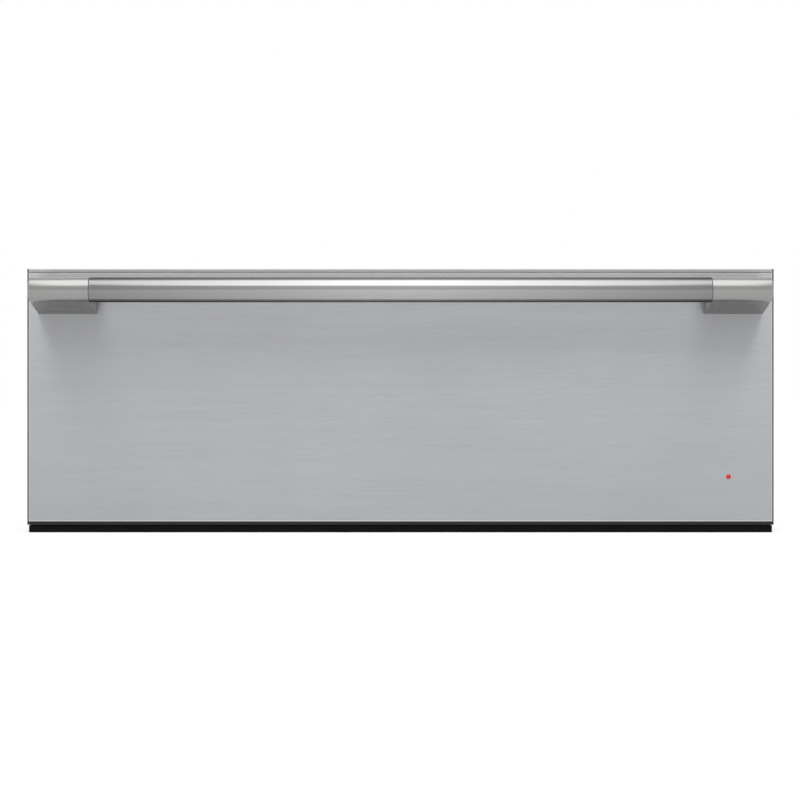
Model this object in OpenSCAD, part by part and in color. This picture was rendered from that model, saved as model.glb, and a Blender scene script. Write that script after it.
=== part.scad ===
// Warming drawer of the 30-inch class: overlay stainless front with a tube handle, a pan on ball
// slides, and a heated, insulated chassis behind it. Closed, as it stands.
// The origin is at the bottom centre of the whole object; the front faces -Y and +Z is up.

/* [Drawer front] */
// Width of the drawer front
front_w = 756; // [740:1:800]
// How far the front stands above the frame's upper edge
front_over = 9; // [4:1:30]
// Depth of the drawer front, face to inner panel
front_t = 38; // [32:1:50]
// Height of the front's lower edge above the floor
front_lift = 8; // [6:0.5:12]
// Sheet of the stainless front and its cap
skin_t = 1.2; // [0.8:0.1:1.6]
// Outer radius of the front's folded sides
skin_bend = 2; // [1.8:0.1:4]
// Outer radius along the top and the bottom of the front
skin_edge = 0.6; // [0.3:0.1:1.5]
// Height of the folded cap along the top edge
top_trim_h = 3.6; // [3:0.1:6]
// Height of the dark strip along the bottom edge
bottom_trim_h = 3.2; // [2.4:0.1:5]
// Open hairline where the cap and the strip meet the front
hairline = 0.4; // [0.2:0.1:0.6]
// Sheet of the inner panel that closes the front's back
inner_t = 1; // [0.8:0.1:1.5]
// Air space between the front's insulation and its inner panel
front_air = 8; // [7:0.5:14]

/* [Handle] */
// Outer diameter of the handle tube
handle_d = 24.5; // [20:0.5:30]
// Wall of the handle tube
handle_wall = 1.5; // [1:0.1:2.5]
// Distance of the handle's axis in front of the face
handle_reach = 50; // [40:1:60]
// Distance of the handle's axis below the top of the front
handle_drop = 23.8; // [20:0.1:40]
// Distance of each sleeve's outer end from the side of the front
handle_inset = 11; // [6:0.5:30]
// Length of the round sleeve on each bracket
sleeve_l = 59.5; // [45:0.5:80]
// Drop of each bracket's foot below the handle's axis
bracket_drop = 21.8; // [17:0.1:26]
// Chamfer at the outer end of each sleeve
sleeve_chamfer = 0.8; // [0.4:0.1:1.5]
// Seam between tube and sleeve
handle_seam = 0.3; // [0.2:0.05:0.5]
// Length of the spigot in the tube
spigot_l = 20; // [12:1:40]
// Gap round the spigot in the tube
spigot_gap = 0.25; // [0.15:0.05:0.5]

/* [Indicator] */
// Distance of the indicator from the right side of the front
lamp_inset = 46; // [40:1:47]
// Height of the indicator above the front's lower edge
lamp_up = 48.7; // [46:0.1:54]
// Diameter of the indicator's lens
lens_d = 5; // [4.6:0.1:7]
// Diameter of the light pipe behind the lens
pipe_d = 4; // [3:0.1:4.4]
// How far the lens stands proud of the face
lens_proud = 0.8; // [0.4:0.1:1.5]

/* [Hot box] */
// Thickness of the insulation between liner and casing, left and right
side_ins = 51; // [48:1:58]
// Thickness of the insulation under the liner
base_ins = 34; // [28:1:36]
// Insulation over the liner
top_ins = 16; // [14:1:20]
// Thickness of the insulation behind the liner
rear_ins = 25; // [15:1:40]
// Free height of the hot box above the pan
pan_over = 26; // [22:1:40]
// Sheet of the liner
liner_t = 1; // [0.8:0.1:1.5]
// Gap round each block of insulation
ins_gap = 0.3; // [0.1:0.1:0.6]

/* [Chassis] */
// Sheet of the outer casing
casing_t = 1; // [0.8:0.1:1.5]
// Height of the runners under the casing
runner_h = 8; // [6:0.5:10]
// Width of each runner
runner_w = 30; // [20:1:50]
// Depth of the electrical bay behind the partition
rear_bay = 45; // [42:1:80]
// Sheet of the front frame
frame_t = 1.5; // [1:0.1:2]
// How far the frame's sides stand inside the front's sides
frame_inset = 1; // [0.5:0.5:3]
// How far the frame laps over the cabinet on each side
flange_overlap = 18; // [15:1:20]
// Gap between the front's inner panel and the frame
seal_gap = 5; // [4.5:0.1:7]
// Set-back of the black base strip behind the face
base_trim_back = 6; // [2:0.5:20]
// Gap between the base strip and the front above it
base_trim_gap = 0.8; // [0.5:0.1:2]
// Thickness of the base strip
base_trim_t = 1.2; // [0.8:0.1:2]
// Distance between two cooling slots of the casing, along a row
case_slot_pitch = 36; // [24:1:40]
// Distance between two rows of cooling slots
case_slot_rise = 14; // [10:1:16]
// Radius of the cabinet screw holes in the frame
mount_hole_r = 2.5; // [2:0.1:3]
// Height between the lower and the upper cabinet screws
mount_rise = 150; // [100:1:180]
// Height of the lower cabinet screws above the runners
mount_up = 52; // [40:1:60]

/* [Seal] */
// Gap between the hot box's edge and the seal
seal_inset = 1.5; // [1:0.1:3]
// Width of the seal
seal_w = 8.5; // [6:0.5:9]
// Gap between the closed seal and the frame
seal_rest = 0.3; // [0.2:0.1:0.5]

/* [Pan] */
// Depth of the pan, rim to rim
pan_d = 455; // [430:1:460]
// Height of the pan
pan_h = 130; // [122:1:134]
// Height of the pan's underside above the hot box's floor
pan_up = 22; // [20:1:26]
// Sheet of the pan
pan_t = 1; // [0.8:0.1:1.4]
// Corner radius of the pan, seen from above
pan_corner_r = 22; // [14:1:40]
// Radius between the pan's walls and floor
pan_floor_r = 8; // [6:1:14]
// Width of the pan's rim flange
pan_rim = 9; // [8:0.5:11]
// Gap between pan wall and carrier
pan_side_gap = 0.5; // [0.3:0.1:1]
// Gap between the pan's rim and the inner panel
pan_front_gap = 0.3; // [0.1:0.1:1]
// Free depth of the hot box behind the pan
pan_back_gap = 21.2; // [18:1:60]

/* [Pan carriers] */
// Sheet of the carriers that hang the pan on its slides
carrier_t = 1.5; // [1.2:0.1:2]
// Width of the tab that meets the inner panel
carrier_tab = 31; // [24:1:40]
// Height of the carrier's lower edge above the hot box's floor
carrier_up = 48; // [40:1:56]

/* [Slides] */
// How much shorter the slides are than the pan
rail_short = 5; // [0:1:60]
// Height of the slides' centre above the hot box's floor
rail_up = 76; // [70:1:80]
// Distance of the slides' front end behind the frame
rail_front = 4; // [2:1:8]
// Half height of the outer rail
rail_half = 22.5; // [21:0.5:26]
// Sheet of the rails
rail_sheet = 1.2; // [1:0.1:1.5]
// Thickness of a whole slide, liner to carrier
rail_stack = 13; // [12.8:0.1:14]
// How far the outer member stays behind the front of the stack
rail_lip = 3.5; // [2.5:0.5:4.5]
// Diameter of the outer balls
ball_outer_d = 4; // [3.6:0.1:4.4]
// Diameter of the inner balls
ball_inner_d = 3; // [2.6:0.1:3.2]
// Gap round each ball
ball_gap = 0.2; // [0.1:0.05:0.25]
// Gap between two rails that pass each other
rail_gap = 0.6; // [0.5:0.1:0.7]
// Length of the ball cages
cage_l = 200; // [160:20:200]
// Distance of the cages from the slides' front end
cage_front = 120; // [110:1:140]
// Distance between two balls
ball_pitch = 20; // [10:1:30]
// Sheet of the ball cages
cage_t = 0.8; // [0.6:0.1:1]

/* [Rack] */
// Gap between the rack and the pan's walls
rack_gap = 20; // [10:1:40]
// Height of the rack's frame above the pan's floor
rack_up = 9; // [6:1:20]
// Diameter of the rack's frame wire
rack_wire_d = 5; // [4:0.5:6]
// Diameter of the rack's cross wires
rack_rod_d = 3; // [2:0.5:4]
// Distance between two cross wires
rack_pitch = 30; // [20:1:40]
// Corner radius of the rack's frame
rack_corner_r = 25; // [10:1:40]
// Gap under the rack's feet
rack_rest = 0.3; // [0.2:0.1:0.5]

/* [Moisture vent] */
// Width of the vent plate
vent_w = 330; // [250:1:400]
// Height of the vent plate
vent_h = 14; // [12:0.5:16]
// Distance of the vent plate's top below the hot box's ceiling
vent_drop = 4; // [3:0.5:8]
// Thickness of the vent plate
vent_t = 1; // [0.8:0.1:1.5]
// Number of vent slots
vent_slots = 12; // [4:1:14]
// Distance between two vent slots
vent_pitch = 24; // [20:1:28]
// Width of a vent slot
vent_slot_w = 8; // [4:1:9]
// Height of a vent slot
vent_slot_h = 6; // [3:1:8]
// Gap round the vent plate in its guides
vent_gap = 0.3; // [0.2:0.05:0.5]
// Number of vent slots along the top of the front
top_slots = 16; // [4:1:18]
// Distance between two slots along the top
top_slot_pitch = 36; // [30:1:40]
// Length of a slot along the top
top_slot_l = 24; // [10:1:28]
// Width of a slot along the top
top_slot_w = 3; // [2:0.5:4]

/* [Controls] */
// Width of the control strip
panel_w = 27; // [25:1:30]
// Height of the control strip
panel_h = 172; // [168:1:176]
// Thickness of the control strip
panel_t = 3; // [2.4:0.1:3.4]
// Diameter of the keys
key_d = 13; // [10:0.5:14]
// Gap round each key
key_gap = 0.3; // [0.2:0.05:0.5]
// How far the keys stand proud and travel
key_travel = 1; // [0.6:0.1:1]
// Distance between two keys
key_pitch = 22; // [18:1:23]
// Width of the display window
window_w = 17; // [12:1:20]
// Height of the display window
window_h = 32; // [20:1:34]
// Thickness of the display window
window_t = 1; // [0.8:0.1:1.5]
// Gap between the frame and the control board
board_gap = 6; // [5.5:0.5:9]
// Thickness of the boards
board_t = 1.6; // [1:0.2:2]
// How far the control board reaches past the cutout, above and below
board_over = 10; // [4:1:12]
// Depth of the pocket for the control board behind the frame
board_pocket = 32; // [26:1:60]
// Diameter of the lamp behind the light pipe
led_d = 4.8; // [3:0.1:5]

/* [Heating] */
// Diameter of the heating element
element_d = 6.4; // [5:0.1:8]
// Height of the element's axis above the floor of the hot box
element_up = 8; // [6.5:0.5:10]
// Bend radius of the element, at its axis
element_bend = 20; // [15:1:30]
// Distance between the element's two legs
element_legs = 60; // [50:1:100]
// Half width of the element's outer run
element_half = 255; // [220:1:270]
// Half width of the element's front bight
element_bight = 150; // [110:1:170]
// Distance of the element's front run behind the frame
element_front = 70; // [50:1:120]
// Distance of the element's rear run before the liner's rear
element_rear = 60; // [45:1:100]
// Distance of the bight's run before the rear run
element_step = 130; // [80:1:180]
// Diameter of the temperature probe
probe_d = 4; // [3:0.5:6]
// Length of the probe inside the hot box
probe_l = 50; // [10:5:80]
// Distance of the probe below the ceiling of the hot box
probe_drop = 13; // [8:1:13]
// Diameter of the limit thermostat
limit_d = 16; // [12:0.5:20]

/* [Electrics] */
// Radius of the bore that the mains cord comes in through
gland_r = 4.5; // [3.5:0.1:6]
// Wall of the cord gland
gland_wall = 3.5; // [3:0.1:5]
// Length of the cord gland's bore
gland_l = 16; // [10:1:22]
// Proud flange of the cord gland
gland_flange = 3; // [3:0.5:5]
// Distance of the gland from the side of the casing
gland_inset = 109; // [40:1:200]
// Height of the gland above the casing's base
gland_up = 36; // [20:1:80]
// Width of the power board
power_w = 150; // [100:1:200]
// Height of the power board
power_h = 90; // [60:1:120]
// Gap between the partition and the power board
power_gap = 8; // [5:1:12]
// Diameter of the wiring loom
loom_d = 7; // [5:0.5:9]
// Gap round the wiring loom
loom_gap = 1; // [0.5:0.1:2]

/* [Screws] */
// Shank radius of the handle's screws
handle_screw_r = 3; // [2.5:0.5:3]
// Distance between the two screws of a bracket
handle_screw_pitch = 30; // [24:1:36]
// Grip of the handle's screws in the brackets
handle_screw_l = 18; // [12:1:24]
// Shank radius of the carriers' screws
carrier_screw_r = 2.5; // [2:0.5:3]
// Shank radius of the casing's screws
casing_screw_r = 2; // [1.5:0.5:2.5]
// Gap round each screw's shank
screw_gap = 0.1; // [0.05:0.05:0.3]

/* [Hidden] */
$fn = 48;
LEFT = -1;
RIGHT = 1;
eps = 0.01;
cut = 5;

// Widths, from the middle outwards
front_half = front_w / 2;
frame_half = front_half - frame_inset;
casing_half = frame_half - flange_overlap;
cavity_half = casing_half - casing_t - side_ins - liner_t;
carrier_x = cavity_half - rail_stack;
pan_half = carrier_x - carrier_t - pan_side_gap;
mount_half = casing_half + flange_overlap / 2;

// Heights, from the floor upwards
casing_z0 = runner_h;
floor_z = casing_z0 + casing_t + base_ins;
cavity_h = pan_up + pan_h + pan_over;
cavity_d = pan_front_gap + pan_d + pan_back_gap - seal_gap - frame_t;
cavity_z0 = floor_z + liner_t;
cavity_z1 = cavity_z0 + cavity_h;
ceiling_z = cavity_z1 + liner_t;
casing_z1 = ceiling_z + top_ins + casing_t;
frame_z1 = casing_z1 + flange_overlap;
front_z0 = front_lift;
front_z1 = frame_z1 + front_over;
skin_z0 = front_z0 + bottom_trim_h;
skin_z1 = front_z1 - top_trim_h;
handle_z = front_z1 - handle_drop;
lamp_z = front_z0 + lamp_up;
rail_z = cavity_z0 + rail_up;
pan_z0 = cavity_z0 + pan_up;
pan_z1 = pan_z0 + pan_h;
carrier_z0 = cavity_z0 + carrier_up;

// Depths, from the handle backwards
handle_r = handle_d / 2;
chassis_d = frame_t + cavity_d + liner_t + rear_ins + casing_t + rear_bay + casing_t;
overall_d = handle_reach + handle_r + front_t + seal_gap + chassis_d + gland_flange;
face_y = handle_reach + handle_r - overall_d / 2;
handle_y = face_y - handle_reach;
inner_y = face_y + front_t;
frame_y = inner_y + seal_gap;
cavity_y0 = frame_y + frame_t;
cavity_y1 = cavity_y0 + cavity_d;
partition_y = cavity_y1 + liner_t + rear_ins;
bay_y = partition_y + casing_t;
rear_y = bay_y + rear_bay + casing_t;
rail_y0 = cavity_y0 + rail_front;
rail_y1 = rail_y0 + pan_d - rail_short;
lamp_x = front_half - lamp_inset;

// Places of the keys on the control strip, from the strip's foot upwards
panel_z0 = cavity_z0;
panel_z1 = panel_z0 + panel_h;
timer_z = lamp_z + key_pitch + key_travel + led_d;
down_z = timer_z + key_pitch;
up_z = down_z + key_pitch;
window_z = up_z + (key_d + window_h) / 2 + key_gap * 10;
power_z = window_z + (key_d + window_h) / 2 + key_gap * 10;

// Handle sleeves and the seat of their screws
sleeve_x1 = front_half - handle_inset;
sleeve_x0 = sleeve_x1 - sleeve_l;
handle_screw_z = handle_z + (handle_r - bracket_drop) / 2;
handle_screws = [for (k = [-1, 1]) (sleeve_x0 + sleeve_x1 + k * handle_screw_pitch) / 2];

front_ins_half = sleeve_x0 - cut;

// Pan, carriers and rack
pan_y0 = inner_y + pan_front_gap;
pan_y1 = pan_y0 + pan_d;
pan_mid_y = (pan_y0 + pan_y1) / 2;
rim_z = pan_z1 - pan_t;
tab_z1 = rim_z - 4 * carrier_t;
carrier_screw_x = carrier_x - carrier_tab / 2;
carrier_screws = [for (k = [1, 3, 5]) carrier_z0 + k * (tab_z1 - carrier_z0) / 6];
rack_half = pan_half - pan_t - rack_gap;
rack_half_d = pan_d / 2 - pan_rim - pan_t - rack_gap;
rack_z = pan_z0 + pan_t + rack_up;

// Vent plate on the inner panel
vent_z1 = cavity_z1 - vent_drop;
vent_z0 = vent_z1 - vent_h;
vent_z = (vent_z0 + vent_z1) / 2;
vent_y0 = inner_y + vent_gap;
vent_y1 = vent_y0 + vent_t;

// Slide sections: u runs inwards from the liner, w runs up from the slide's centre
outer_open = rail_stack - rail_lip;
mid_back = rail_sheet + rail_gap;
mid_open = rail_stack - rail_sheet - 1.5 * rail_gap;
mid_half = rail_half - rail_sheet - ball_outer_d - 2 * ball_gap;
inner_half = mid_half - rail_sheet - ball_inner_d - 2 * ball_gap;
inner_open = mid_back + rail_sheet + 1.5 * rail_gap;
ball_outer_u = outer_open / 2;
ball_outer_w = (rail_half - rail_sheet + mid_half) / 2;
ball_inner_u = (mid_back + rail_stack) / 2;
ball_inner_w = (mid_half - rail_sheet + inner_half) / 2;
cage_gap = rail_gap / 2;
cage_y0 = rail_y0 + cage_front;

// Shared shapes

// A box between two opposite corners
module block(low, high) {
    translate(low) cube(high - low);
}

// A rectangle with four true round corners, centred
module round_rect(w, h, r) {
    square([w - 2 * r, h], center = true);
    square([w, h - 2 * r], center = true);
    for (sx = [-1, 1], sy = [-1, 1])
        translate([sx * (w / 2 - r), sy * (h / 2 - r)]) circle(r);
}

// A rectangle from a0 to a1 and b0 to b1 whose two corners at b0 are round
module fold_outline(a0, a1, b0, b1, r) {
    translate([a0, b0 + r]) square([a1 - a0, b1 - b0 - r]);
    if (r > 0) {
        translate([a0 + r, b0]) square([a1 - a0 - 2 * r, 2 * r]);
        for (a = [a0 + r, a1 - r]) translate([a, b0 + r]) circle(r);
    }
}

// Draws an X-Z outline through from y0 to y1
module along_y(y0, y1) {
    translate([0, y1, 0]) rotate([90, 0, 0]) linear_extrude(y1 - y0) children();
}

// Draws a Y-Z outline through from x0 to x1
module along_x(x0, x1) {
    translate([x0, 0, 0]) rotate([90, 0, 90]) linear_extrude(x1 - x0) children();
}

// Draws an X-Y outline through from z0 to z1
module along_z(z0, z1) {
    translate([0, 0, z0]) linear_extrude(z1 - z0) children();
}

// Round rods along each axis
module rod_x(y, z, r, x0, x1) {
    translate([x0, y, z]) rotate([0, 90, 0]) cylinder(r = r, h = x1 - x0);
}
module rod_y(x, z, r, y0, y1) {
    translate([x, y1, z]) rotate([90, 0, 0]) cylinder(r = r, h = y1 - y0);
}
module rod_z(x, y, r, z0, z1) {
    translate([x, y, z0]) cylinder(r = r, h = z1 - z0);
}

// Draws a right-hand piece on the named side
module on_side(side) {
    if (side == LEFT) mirror([1, 0, 0]) children();
    else children();
}

// A screw along Y: its head stands towards +Y on a seat, its shank reaches grip towards -Y
module screw_y(x, z, r, seat, grip) {
    rod_y(x, z, r, seat - grip, seat);
    difference() {
        rod_y(x, z, 1.8 * r, seat, seat + 1.2 * r);
        translate([x, seat + 0.6 * r, z]) rotate([-90, 0, 0]) cylinder(r = r, h = cut, $fn = 6);
    }
}

// A block whose front edges are folded round: r_side on the sides, r_edge above and below
module fold_block(half, z0, z1, y0, y1, r_side, r_edge) {
    intersection() {
        along_z(z0, z1) fold_outline(-half, half, y0, y1, r_side);
        along_x(-half, half) mirror([1, -1, 0]) fold_outline(z0, z1, y0, y1, r_edge);
    }
}

// Front

// Slots near the back of the front's top, through its cap and the skin below it
module top_vents() {
    for (k = [0:top_slots - 1])
        translate([(k - (top_slots - 1) / 2) * top_slot_pitch, inner_y - inner_t - front_air / 2, 0])
            along_z(skin_z1 - cut, front_z1 + cut) round_rect(top_slot_l, top_slot_w, top_slot_w / 2 - eps);
}

// Stainless tray: face, sides and returns
module front_skin() {
    color([0.70, 0.70, 0.71]) difference() {
        fold_block(front_half, skin_z0, skin_z1, face_y, inner_y - inner_t, skin_bend, skin_edge);
        fold_block(front_half - skin_t, skin_z0 + skin_t, skin_z1 - skin_t,
            face_y + skin_t, inner_y, skin_bend - skin_t, 0);
        for (side = [-1, 1], x = handle_screws)
            rod_y(side * x, handle_screw_z, handle_screw_r + screw_gap, face_y - cut, face_y + cut);
        rod_y(lamp_x, lamp_z, pipe_d / 2 + screw_gap, face_y - cut, face_y + cut);
        top_vents();
    }
}

// Stainless cap folded over the front's top edge
module front_top_trim() {
    color([0.74, 0.74, 0.75]) difference() {
        intersection() {
            fold_block(front_half, skin_z1 - cut, front_z1, face_y, inner_y, skin_bend, skin_edge);
            block([-front_w, face_y - cut, skin_z1 + hairline], [front_w, inner_y + cut, front_z1 + cut]);
        }
        fold_block(front_half - skin_t, skin_z1 - cut, front_z1 - skin_t,
            face_y + skin_t, inner_y - skin_t, skin_bend - skin_t, 0);
        top_vents();
    }
}

// Dark strip under the front
module front_bottom_trim() {
    color([0.18, 0.16, 0.17])
        fold_block(front_half, front_z0, skin_z0, face_y, inner_y - inner_t, skin_bend, skin_edge);
}

// Places of the slots in the inner panel and in the vent plate
module vent_slot_cuts() {
    for (k = [0:vent_slots - 1])
        translate([(k - (vent_slots - 1) / 2) * vent_pitch, 0, vent_z])
            along_y(inner_y - cut, inner_y + cut) square([vent_slot_w, vent_slot_h], center = true);
}

// Inner panel, with the vent slots, the guides of the vent plate and the light pipe's hole
module front_inner_panel() {
    guide_w = 10;
    color([0.62, 0.62, 0.63]) {
        difference() {
            block([-front_half + skin_t, inner_y - inner_t, skin_z0],
                [front_half - skin_t, inner_y, skin_z1]);
            vent_slot_cuts();
            rod_y(lamp_x, lamp_z, pipe_d / 2 + screw_gap, inner_y - cut, inner_y + cut);
            for (side = [-1, 1], z = carrier_screws)
                rod_y(side * carrier_screw_x, z, carrier_screw_r + screw_gap, inner_y - cut, inner_y + cut);
        }
        for (side = [-1, 1], up = [-1, 1])
            translate([side * vent_w / 4, 0, vent_z]) mirror([0, 0, up < 0 ? 1 : 0]) {
                block([-guide_w / 2, inner_y, vent_h / 2 + vent_gap],
                    [guide_w / 2, vent_y1 + vent_gap + inner_t, vent_h / 2 + vent_gap + inner_t]);
                block([-guide_w / 2, vent_y1 + vent_gap, vent_h / 2 - 2 * inner_t],
                    [guide_w / 2, vent_y1 + vent_gap + inner_t, vent_h / 2 + vent_gap + inner_t]);
            }
    }
}

// Insulation inside the front, clear of the handle's screws
module front_insulation() {
    color([0.86, 0.80, 0.55]) block(
        [-front_ins_half, face_y + skin_t + ins_gap, skin_z0 + skin_t + ins_gap],
        [front_ins_half, inner_y - inner_t - front_air, skin_z1 - skin_t - ins_gap]);
}

// Seal round the hot box's mouth, on the inner panel
module front_gasket() {
    color([0.12, 0.12, 0.12]) along_y(inner_y, frame_y - seal_rest)
        translate([0, (cavity_z0 + cavity_z1) / 2]) difference() {
            round_rect(2 * (cavity_half + seal_inset + seal_w),
                cavity_h + 2 * (seal_inset + seal_w), seal_w);
            square([2 * (cavity_half + seal_inset), cavity_h + 2 * seal_inset], center = true);
        }
}

// Plate that slides sideways over the vent slots
module vent_slider() {
    color([0.55, 0.55, 0.56]) difference() {
        union() {
            block([-vent_w / 2, vent_y0, vent_z0], [vent_w / 2, vent_y1, vent_z1]);
            rod_y(0, vent_z, vent_h / 3, vent_y1, vent_y1 + vent_h / 2);
        }
        vent_slot_cuts();
    }
}

// Handle

module handle_tube() {
    half = sleeve_x0 - handle_seam;
    color([0.72, 0.72, 0.73]) difference() {
        rod_x(handle_y, handle_z, handle_r, -half, half);
        rod_x(handle_y, handle_z, handle_r - handle_wall, -half - cut, half + cut);
    }
}

// Side outline of a bracket's foot: flat on top, its underside leaves the sleeve as a tangent
module bracket_outline() {
    reach = face_y - handle_y;
    a = atan2(-bracket_drop, reach) - acos(handle_r / norm([reach, bracket_drop]));
    polygon([
        [handle_y, handle_z + handle_r],
        [face_y, handle_z + handle_r],
        [face_y, handle_z - bracket_drop],
        [handle_y + handle_r * cos(a), handle_z + handle_r * sin(a)],
        [handle_y, handle_z]
    ]);
}

module handle_bracket(side) {
    web_x1 = sleeve_x1 - sleeve_chamfer;
    color([0.66, 0.66, 0.67]) on_side(side) difference() {
        union() {
            rod_x(handle_y, handle_z, handle_r, sleeve_x0, web_x1);
            translate([web_x1, handle_y, handle_z]) rotate([0, 90, 0])
                cylinder(r1 = handle_r, r2 = handle_r - sleeve_chamfer, h = sleeve_chamfer);
            along_x(sleeve_x0, web_x1) bracket_outline();
            rod_x(handle_y, handle_z, handle_r - handle_wall - spigot_gap,
                sleeve_x0 - spigot_l, sleeve_x0 + eps);
        }
        for (x = handle_screws)
            rod_y(x, handle_screw_z, handle_screw_r + screw_gap, face_y - handle_screw_l - 1, face_y + cut);
    }
}

// Light pipe: a domed lens on the face and a rod through to the back of the front
module indicator_lens() {
    dome_r = (pow(lens_d / 2, 2) + pow(lens_proud, 2)) / (2 * lens_proud);
    color([0.85, 0.08, 0.06]) {
        intersection() {
            translate([lamp_x, face_y - lens_proud + dome_r, lamp_z]) sphere(r = dome_r);
            rod_y(lamp_x, lamp_z, lens_d / 2, face_y - cut, face_y);
        }
        rod_y(lamp_x, lamp_z, pipe_d / 2, face_y - eps, inner_y + pan_front_gap);
    }
}

// Pan

// Body of the pan, inset by its sheet for the inside
module pan_body(inset, z1) {
    half = pan_half - inset;
    y0 = pan_y0 + pan_rim + inset;
    y1 = pan_y1 - pan_rim - inset;
    intersection() {
        along_z(pan_z0, z1)
            translate([0, pan_mid_y]) round_rect(2 * half, y1 - y0, pan_corner_r - inset);
        along_y(y0, y1) fold_outline(-half, half, pan_z0 + inset, z1, pan_floor_r - inset);
        along_x(-half, half) fold_outline(y0, y1, pan_z0 + inset, z1, pan_floor_r - inset);
    }
}

module drawer_pan() {
    color([0.68, 0.68, 0.69]) difference() {
        union() {
            pan_body(0, pan_z1);
            along_z(rim_z, pan_z1) translate([0, pan_mid_y])
                round_rect(2 * (pan_half + pan_rim), pan_d, pan_corner_r + pan_rim);
        }
        pan_body(pan_t, pan_z1 + cut);
    }
}

// Bracket that hangs the pan by its rim and joins the slide to the inner panel
module pan_carrier(side) {
    web_x0 = carrier_x - carrier_t;
    color([0.58, 0.58, 0.59]) on_side(side) difference() {
        union() {
            block([web_x0, inner_y, carrier_z0], [carrier_x, rail_y1, rim_z]);
            block([carrier_x, pan_y0 + pan_corner_r, rim_z - carrier_t],
                [carrier_x + pan_rim - 2 * carrier_t, rail_y1, rim_z]);
            block([carrier_x - carrier_tab, inner_y, carrier_z0],
                [web_x0 + eps, inner_y + carrier_t, tab_z1]);
        }
        for (z = carrier_screws)
            rod_y(carrier_screw_x, z, carrier_screw_r + screw_gap, inner_y - cut, inner_y + cut);
    }
}

module drawer_screws() {
    color([0.45, 0.45, 0.46]) for (side = [-1, 1]) {
        for (x = handle_screws)
            screw_y(side * x, handle_screw_z, handle_screw_r, face_y + skin_t, skin_t + handle_screw_l);
        for (z = carrier_screws)
            screw_y(side * carrier_screw_x, z, carrier_screw_r, inner_y + carrier_t,
                carrier_t + inner_t + front_air / 2);
    }
}

// Slides

// C section from its back to its open side, in u and w
module c_section(back, open, half) {
    web = min(back, back + sign(open - back) * rail_sheet);
    translate([web, -half]) square([rail_sheet, 2 * half]);
    for (w = [-half, half - rail_sheet])
        translate([min(back, open), w]) square([abs(open - back), rail_sheet]);
}

// Runs a section given in u and w along the slide on the named side
module rail(side) {
    on_side(side) along_y(rail_y0, rail_y1) translate([cavity_half, rail_z]) mirror([1, 0]) children();
}

module slide_outer(side) {
    lip = rail_half - ball_outer_w - cage_t;
    color([0.60, 0.61, 0.63]) rail(side) {
        c_section(0, outer_open, rail_half);
        for (w = [-rail_half, rail_half - lip])
            translate([outer_open - rail_sheet, w]) square([rail_sheet, lip]);
    }
}

module slide_mid(side) {
    color([0.66, 0.67, 0.69]) rail(side) c_section(mid_back, mid_open, mid_half);
}

module slide_inner(side) {
    color([0.60, 0.61, 0.63]) rail(side) c_section(rail_stack, inner_open, inner_half);
}

// Two strips of a cage with their balls, u and w as in the slide's section
module ball_cage(side, ball_d, u0, u1, u, w) {
    on_side(side) for (up = [-1, 1]) {
        z = rail_z + up * w;
        block([cavity_half - u1, cage_y0, z - cage_t / 2],
            [cavity_half - u0, cage_y0 + cage_l, z + cage_t / 2]);
        for (y = [ball_pitch / 2:ball_pitch:cage_l - ball_pitch / 2])
            translate([cavity_half - u, cage_y0 + y, z]) sphere(r = ball_d / 2);
    }
}

module ball_cage_outer(side) {
    color([0.70, 0.55, 0.30]) ball_cage(side, ball_outer_d, rail_sheet + cage_gap,
        outer_open - rail_sheet - cage_gap, ball_outer_u, ball_outer_w);
}

module ball_cage_inner(side) {
    color([0.70, 0.55, 0.30]) ball_cage(side, ball_inner_d, mid_back + rail_sheet + cage_gap,
        rail_stack - rail_sheet - cage_gap, ball_inner_u, ball_inner_w);
}

// Rack

// Wire frame with round corners, cross wires on top of it and four feet
module rack() {
    frame_r = rack_wire_d / 2;
    rod_r = rack_rod_d / 2;
    foot_z = pan_z0 + pan_t + rack_rest;
    wires = floor((rack_half - rack_corner_r) / rack_pitch);
    run_x = rack_half - rack_corner_r;
    run_y = rack_half_d - rack_corner_r;
    color([0.80, 0.80, 0.81]) translate([0, pan_mid_y, 0]) union() {
        for (s = [-1, 1]) {
            rod_x(s * rack_half_d, rack_z, frame_r, -run_x, run_x);
            rod_y(s * rack_half, rack_z, frame_r, -run_y, run_y);
        }
        for (turn = [0:3])
            translate([(turn == 0 || turn == 3 ? 1 : -1) * run_x, (turn < 2 ? 1 : -1) * run_y, rack_z])
                rotate([0, 0, 90 * turn])
                    rotate_extrude(angle = 90) translate([rack_corner_r, 0]) circle(frame_r);
        for (k = [-wires:wires])
            rod_y(k * rack_pitch, rack_z + frame_r + rod_r / 2, rod_r, -rack_half_d, rack_half_d);
        for (sx = [-1, 1], sy = [-1, 1]) {
            rod_z(sx * rack_half, sy * run_y / 2, frame_r, foot_z + frame_r, rack_z);
            translate([sx * rack_half, sy * run_y / 2, foot_z + frame_r]) sphere(r = frame_r);
        }
    }
}

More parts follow.
